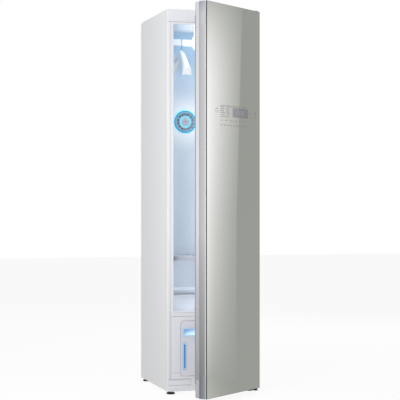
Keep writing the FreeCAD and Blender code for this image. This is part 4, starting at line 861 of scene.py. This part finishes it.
def makeTouchDigits():
    curve = bpy.data.curves.new("touch_digits", "FONT")
    curve.body, curve.size = touchPanel["digits"], touchPanel["digitSize"] * mm
    curve.extrude, curve.align_x, curve.align_y = 0.08 * mm, "CENTER", "CENTER"
    writing = addObject("touch_digits", curve)
    bpy.context.view_layer.update()
    graph = bpy.context.evaluated_depsgraph_get()
    flat = bpy.data.meshes.new_from_object(writing.evaluated_get(graph))
    bpy.data.objects.remove(writing)
    bm = bmesh.new()
    bm.from_mesh(flat)
    bmesh.ops.remove_doubles(bm, verts=bm.verts, dist=0.001 * mm)
    bmesh.ops.recalc_face_normals(bm, faces=bm.faces)
    left, right, low, high = touchPanel["window"]
    middle = moved((left + right) / 2, touchPanel["y"] - 0.02, (low + high) / 2)
    upright = Matrix.Rotation(math.radians(90), 4, "X")
    bmesh.ops.transform(bm, matrix=middle @ upright, verts=bm.verts)
    finishOnDoor("touch_panel_digits", bm, "touchDigit")


def onCircle(x, y, z, radius, angles):
    turns = [math.radians(angle) for angle in angles]
    return [(x + radius * math.cos(turn), y + radius * math.sin(turn), z) for turn in turns]


# screws and bolts in mm, by the piece that they hold: places, axis, head radius and finish
screws = {
    "control_lid_screws": ([(x, -240.5, z) for x in (71, 199) for z in (237, 357)],
                           forwards, 3.6, "screw"),
    "drive_housing_screws": ([(x, -7.5, 1810) for x in (-66.5, 66.5)], upwards, 3.2, "screw"),
    "outlet_hub_screw": ([(0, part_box("outlet_bezel")[0].y / mm + 1.2, 1342)],
                         forwards, 3.0, "chip"),
    "lamp_lens_screws": ([(x, -231.5, 1798.1) for x in (-143, 143)], downwards, 2.6, "screw"),
    "bottom_hinge_bolts": ([(188, -201, 13), (209, -201, 13), (188, -246, 13)],
                           downwards, 4.2, "screw"),
    "pump_screws": ([(x, y, 25.5) for x in (-125, -85, -20, 20) for y in (-69.5, -23.5)],
                    upwards, 2.6, "screw"),
    "blower_screws": (onCircle(-118, 176, 91.5, 66, (112, 184, 256, 328)), upwards, 2.8, "screw"),
    "compressor_bolts": (onCircle(118, 150, 46.5, 64, (30, 150, 270)), upwards, 5.0, "screw"),
}


def makeScrews():
    for name, (places, axis, radius, look) in screws.items():
        bm = bmesh.new()
        for place in places:
            addScrew(bm, place, axis, radius)
        finishPiece(name, bm, look, "cabinet")


# grip ribs round the feet's discs and lock nuts on their necks, in mm
footGrip = {"x": 198.5, "y": 227.5, "ribs": 18, "reach": 19.2, "ribRadius": 1.3, "ribLow": 1.2,
            "ribTall": 6.2, "nut": 12.0, "nutLow": 10.2, "nutHigh": 15.6, "nutRounding": 0.5}


def addFootNut(bm, x, y):
    low, high, radius = footGrip["nutLow"], footGrip["nutHigh"], footGrip["nut"] * mm
    shape = bmesh.new()
    bmesh.ops.create_cone(shape, cap_ends=True, segments=6, radius1=radius, radius2=radius,
                          depth=(high - low) * mm)
    bmesh.ops.bevel(shape, geom=list(shape.edges), offset=footGrip["nutRounding"] * mm,
                    segments=2, affect="EDGES", profile=0.5, material=-1)
    joinShape(bm, shape, moved(x, y, (low + high) / 2))


def makeFootDetails():
    ribs, nuts = bmesh.new(), bmesh.new()
    angles = [360 * step / footGrip["ribs"] for step in range(footGrip["ribs"])]
    thick = footGrip["ribRadius"]
    for x in (-footGrip["x"], footGrip["x"]):
        for y in (-footGrip["y"], footGrip["y"]):
            for place in onCircle(x, y, footGrip["ribLow"], footGrip["reach"], angles):
                addDisc(ribs, place, thick, thick, footGrip["ribTall"], upwards, 6)
            addFootNut(nuts, x, y)
    finishPiece("foot_grip_ribs", ribs, "foot", "cabinet")
    finishPiece("foot_lock_nuts", nuts, "screw", "cabinet")


# thin aluminium fins in the slots of both coils, and collars on the tubes' ends, in mm
coil = {"fronts": (18.0, 64.0), "first": -179.0, "pitch": 20.0, "slots": 10, "steps": (2, 4, 6),
        "half": 0.2, "near": 0.4, "far": 13.8, "low": 176.5, "high": 313.5}
coilCollar = {"x": -194, "back": 7.5, "low": 186, "pitch": 29, "count": 5,
              "profile": [(3.2, 0), (4.6, 0.4), (4.6, 2.6), (3.2, 3)]}


def makeCoilFins():
    fins, collars = bmesh.new(), bmesh.new()
    for front in coil["fronts"]:
        for slot in range(coil["slots"]):
            for step in coil["steps"]:
                x = coil["first"] + coil["pitch"] * slot + step
                addBlock(fins, (x - coil["half"], front + coil["near"], coil["low"]),
                         (x + coil["half"], front + coil["far"], coil["high"]))
        for turn in range(coilCollar["count"]):
            z = coilCollar["low"] + coilCollar["pitch"] * turn
            addTurned(collars, (coilCollar["x"], front + coilCollar["back"], z),
                      coilCollar["profile"], rightwards, 16)
    finishPiece("coil_fins", fins, "fins", "cabinet")
    finishPiece("coil_tube_collars", collars, "copper", "cabinet")


# spring bands on the hoses' ends, each with two ears, in mm
hoseClamp = {"inner": 7.05, "outer": 8.4, "width": 5.0, "edge": 0.6, "earGap": 2.4,
             "earLow": (1.2, 1.2, 0.8), "earHigh": (1.2, 1.2, 4.0), "rounding": 0.3,
             "ends": (((-88, -43.5, 34.5), rightwards), ((17, -43.5, 34.5), rightwards),
                      ((100, -135.5, 150), (0, 1, 0)))}


def makeHoseClamps():
    bm = bmesh.new()
    inner, outer, width = hoseClamp["inner"], hoseClamp["outer"], hoseClamp["width"]
    edge = hoseClamp["edge"]
    profile = [(inner, 0), (outer, edge), (outer, width - edge), (inner, width)]
    for place, axis in hoseClamp["ends"]:
        addTurned(bm, place, profile, axis)
        crest = Vector(place) + Vector(axis) * width / 2 + Vector((0, 0, outer))
        for side in (-1, 1):
            ear = crest + Vector((axis[1], axis[0], 0)) * hoseClamp["earGap"] * side
            addBlock(bm, ear - Vector(hoseClamp["earLow"]), ear + Vector(hoseClamp["earHigh"]),
                     hoseClamp["rounding"], 1)
    finishPiece("hose_clamps", bm, "screw", "cabinet")


# the filter's fine mesh, in its five windows, in mm
meshGrid = {"z": 375.5, "pitch": 3.4, "half": 0.25, "over": 1.6, "low": -200.5, "high": -134.5,
            "windowPitch": 21, "windowHalf": 8.5, "columns": 5, "rows": 19, "firstColumn": 1.7,
            "firstRow": 2.4}


def makeFilterMesh():
    bm = bmesh.new()
    grid = meshGrid
    half, z, low, high = grid["half"], grid["z"], grid["low"], grid["high"]
    for window in range(-2, 3):
        left = grid["windowPitch"] * window - grid["windowHalf"]
        right = left + 2 * grid["windowHalf"]
        for step in range(grid["columns"]):
            x = left + grid["firstColumn"] + grid["pitch"] * step
            addBlock(bm, (x - half, low, z - half), (x + half, high, z + half))
        for step in range(grid["rows"]):
            y = low + grid["firstRow"] + grid["pitch"] * step
            addBlock(bm, (left, y - half, z - half), (right, y + half, z + half * grid["over"]))
    finishPiece("filter_mesh", bm, "mesh", "filter")


# the compressor's terminal cover and its plug, and the steam generator's heater ends, in mm
terminalCover = (((54, 134, 96), (64, 166, 136), 2.5, 3),
                 ((52.6, 142, 108), (54.5, 158, 124), 0.6, 2))
heaterEnd = {"x": 184, "y": -160, "heights": (150, 174),
             "profile": [(0.01, 0), (6, 0), (6, 3), (2.4, 3.4), (2.4, 10), (0.01, 10)]}


def makeElectricalEnds():
    bm = bmesh.new()
    for block in terminalCover:
        addBlock(bm, *block)
    finishPiece("compressor_terminal_cover", bm, "darkPlastic", "cabinet")
    bm = bmesh.new()
    for z in heaterEnd["heights"]:
        addTurned(bm, (heaterEnd["x"], heaterEnd["y"], z), heaterEnd["profile"], rightwards, 20)
    finishPiece("heater_terminals", bm, "brass", "cabinet")


# the hanger's body in mm: domed sections with a flat open underside, joined from tip to tip; a
# station gives its reach from the middle, its drop from the top, its height and its width
hangerShape = {"x": -83, "y": -7.5, "top": 1681, "bow": 25, "bend": 1.35, "span": 198,
               "segments": 32, "dome": 0.55, "corner": 0.45, "foot": 0.2, "rim": 3.0,
               "recess": 12, "under": -0.72, "level": 0.68, "bossFoot": 1668,
               "boss": [(2.2, 0), (6, 0), (6, 15.2), (5.2, 16), (2.2, 16)],
               "stations": [(0, 0, 46, 28), (32, 9, 46, 30), (90, 41, 46, 34),
                            (140, 70, 52, 39), (172, 86, 53, 43), (189, 94, 47, 44),
                            (194.5, 97, 43, 42), (197.6, 102, 36, 34)]}


def placeSection(loop, reach, drop, tall, wide):
    shape = hangerShape
    base = shape["top"] - drop - tall
    middle = shape["x"] - shape["bow"] * abs(reach / shape["span"]) ** shape["bend"]
    corner, foot = shape["corner"], shape["foot"]
    for vert in loop:
        across, up = vert.co.x, vert.co.y
        side = math.copysign(abs(across) ** (shape["dome"] if up > 0 else corner), across)
        height = foot + (1 - foot) * up if up > 0 else foot * (1 - abs(up) ** corner)
        place = (middle + side * wide / 2, shape["y"] + reach, base + tall * height)
        vert.co = Vector(place) * mm


def makeHangerBody():
    shape = hangerShape
    bm = bmesh.new()
    stations = [(-reach, *rest) for reach, *rest in shape["stations"][:0:-1]] + shape["stations"]
    rings = []
    for station in stations:
        loop = bmesh.ops.create_circle(bm, cap_ends=False, segments=shape["segments"],
                                       radius=1.0)["verts"]
        rings.append(list({edge for vert in loop for edge in vert.link_edges}))
        placeSection(loop, *station)
    for first, second in zip(rings, rings[1:]):
        bmesh.ops.bridge_loops(bm, edges=first + second)
    for ring in (rings[0], rings[-1]):
        bmesh.ops.contextual_create(bm, geom=ring)
    bmesh.ops.recalc_face_normals(bm, faces=bm.faces)
    bm.normal_update()
    under = [face for face in bm.faces
             if face.normal.z < shape["under"] and abs(face.normal.y) < shape["level"]]
    bmesh.ops.inset_region(bm, faces=under, thickness=shape["rim"] * mm, depth=0,
                           use_even_offset=True)
    inside = list({vert for face in under for vert in face.verts})
    bmesh.ops.translate(bm, vec=(0, 0, shape["recess"] * mm), verts=inside)
    addTurned(bm, (shape["x"], shape["y"], shape["bossFoot"]), shape["boss"])
    body = finishPiece("hanger_body_skin", bm, "hanger", "hanger", 40)
    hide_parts("hanger_body")


makeHangerBody()
makeSeams()
makeDoorBeads()
makeTouchMarks()
makeTouchWindow()
makeTouchDigits()
print("hanger, seams and touch panel made")
makeScrews()
makeFootDetails()
makeCoilFins()
makeHoseClamps()
makeFilterMesh()
makeElectricalEnds()
print("hardware made")

# metres and degrees
cameraView = {"place": (-1.8174, -6.0416, 0.9344), "turn": 16.9, "lens": 112.7, "sensor": 36,
              "clipEnd": 100}


def makeCamera():
    data = bpy.data.cameras.new("camera")
    data.lens, data.sensor_width = cameraView["lens"], cameraView["sensor"]
    data.sensor_fit, data.clip_end = "HORIZONTAL", cameraView["clipEnd"]
    camera = addObject("camera", data)
    camera.location = cameraView["place"]
    camera.rotation_euler = (math.radians(90), 0, -math.radians(cameraView["turn"]))
    scene.camera = camera


# place, aim, width and power; the small lamps in the cavity also have a colour, a length and,
# for one, a spread in degrees
front, rear = (-0.1, -0.1, 0.9), (0.1, 0.1, 0.9)
lamps = {
    "keyLamp": ((-2.2, -1.8, 3.0), front, 1.0, 36.0),
    "frontLamp": ((-2.0, -3.4, 2.6), front, 1.0, 27.5),
    "fillLamp": ((-1.0, -1.6, 1.0), front, 0.6, 12.0),
    "backLamp": ((2.2, 2.6, 2.2), rear, 1.2, 42.0),
    "ceilingLamp": ((0, -0.21, 1.79), (0, 0.12, 1.4), 0.28, 0.28, (0.84, 0.94, 1.0), 0.03),
    "upLamp": ((0.07, -0.02, 1.6), (0.07, -0.02, 1.8), 0.12, 0.34, (1.0, 0.92, 0.9), 0.2, 95),
    "stripLamp": ((0.03, -0.23, 1.0), (-0.02, 0.25, 1.0), 0.05, 0.84, (0.95, 0.98, 1.0), 1.15),
    "lowLamp": ((0.0, 0.0, 0.62), (0.0, 0.07, 0.4), 0.2, 0.2, (1.0, 0.98, 0.97), 0.2),
}


def makeLamp(name, place, aim, width, power, colour=(1, 1, 1), length=None, spread=180):
    data = bpy.data.lights.new(name, "AREA")
    data.shape, data.size, data.size_y = "RECTANGLE", width, length or width
    data.energy, data.color, data.spread = power, colour, math.radians(spread)
    lamp = addObject(name, data)
    lamp.location = place
    lamp.rotation_euler = (Vector(aim) - Vector(place)).to_track_quat("-Z", "Y").to_euler()
    lamp.visible_glossy = lamp.visible_camera = False


def makeWorld(strength):
    world = bpy.data.worlds.new("studio")
    scene.world = world
    paint = Paint("studio", world)
    rays = [paint.add("ShaderNodeLightPath", output=name) for name in
            ("Is Camera Ray", "Is Glossy Ray", "Is Transmission Ray")]
    seen = (rays[0] + rays[1] + rays[2]).clamped()
    back = paint.add("ShaderNodeBackground", None,
                     {"Color": (1, 1, 1, 1), "Strength": strength + (1 - strength) * seen})
    paint.close(back, "ShaderNodeOutputWorld")


# a flat sheet with one material, which stands outside the object
def makeSheet(name, half, matrix, material):
    bm = bmesh.new()
    bmesh.ops.create_grid(bm, x_segments=1, y_segments=1, size=half)
    bmesh.ops.transform(bm, matrix=matrix, verts=bm.verts)
    mesh = meshFrom(name, bm)
    mesh.materials.append(material)
    return addObject(name, mesh)


# the floor's greys, how white the camera sees it, and how bright the glass sees it beside the
# door's foot, in metres
floorLook = {"half": 14, "dark": (0.58, 0.58, 0.58, 1), "pale": (0.62, 0.62, 0.62, 1),
             "white": 0.87, "lift": 0.06, "mirrored": 0.42, "front": -0.395, "reach": 0.17,
             "left": -0.1}


def makeFloor():
    look = floorLook
    paint = Paint("floorPaint")
    colour = paint.mix(paint.noise(0.8), look["dark"], look["pale"])
    matt = paint.add("ShaderNodeBsdfDiffuse", None, {"Color": colour})
    seen, mirrored = [paint.add("ShaderNodeLightPath", output=name) for name in
                      ("Is Camera Ray", "Is Glossy Ray")]
    x, y = paint.axes("xy")
    beside = ((look["front"] - y) / look["reach"]).clamped() * (x > look["left"])
    strength = 1 + look["lift"] * seen + look["mirrored"] * mirrored * beside * beside
    white = paint.add("ShaderNodeEmission", None, {"Color": (1, 1, 1, 1), "Strength": strength})
    factor = look["white"] * seen + mirrored
    mixed = paint.add("ShaderNodeMixShader", None, {0: factor, 1: matt, 2: white})
    floor = makeSheet("floor", look["half"], Matrix.Identity(4), paint.close(mixed))


# an upright card beside the door, in metres: only the glass sees it, brightest at its middle
card = {"x": 0.7, "edge": -0.379, "over": 0.2, "far": -1.2, "low": -0.05, "high": 2.4,
        "slant": 0.0268, "knee": 0.85, "middle": 1.454, "upper": 0.617, "blur": 0.006,
        "reach": 0.171, "first": 0.28, "most": 1.93, "tint": (0.99, 0.955, 1.035, 1)}


def makeCardLight():
    paint = Paint("reflectorLight")
    y, z = paint.axes("yz")
    rise = paint.add("ShaderNodeMath", {"operation": "MAXIMUM"}, {0: z, 1: card["knee"]})
    depth = card["edge"] + card["slant"] * (rise - card["middle"]) - y
    inside = (depth / card["blur"]).clamped()
    across = (depth / card["reach"]).clamped()
    under = ((card["middle"] - z) / card["middle"]).clamped()
    over = ((z - card["middle"]) / card["upper"]).clamped()
    upright = (1 - 0.87 * (under ** 1.6) - over * over).clamped()
    lift = 1 + 0.95 * under * (across ** 5) - 0.2 * under * (1 - across)
    gain = card["first"] + (card["most"] - card["first"]) * (across ** 1.2)
    extra = inside * upright * lift * gain
    tint = paint.mix((extra / card["most"]).clamped(), (1, 1, 1, 1), card["tint"])
    light = paint.add("ShaderNodeEmission", None, {"Color": tint, "Strength": 1 + extra})
    clear = paint.add("ShaderNodeBsdfTransparent")
    glossy = paint.add("ShaderNodeLightPath", output="Is Glossy Ray")
    return paint.close(paint.add("ShaderNodeMixShader", None,
                                 {0: glossy * inside, 1: clear, 2: light}))


def makeReflector():
    near = card["edge"] + card["over"]
    width, height = near - card["far"], card["high"] - card["low"]
    middle = (card["x"], (near + card["far"]) / 2, (card["low"] + card["high"]) / 2)
    turn = Matrix.Rotation(math.radians(-90), 4, "Y")
    shape = Matrix.Translation(middle) @ turn @ Matrix.Diagonal((height, width, 1, 1))
    reflector = makeSheet("reflector", 0.5, shape, makeCardLight())


scene.view_settings.view_transform = "Standard"
makeCamera()
makeWorld(0.27)
makeFloor()
makeReflector()
for name, settings in lamps.items():
    makeLamp(name, *settings)
print("studio ready")
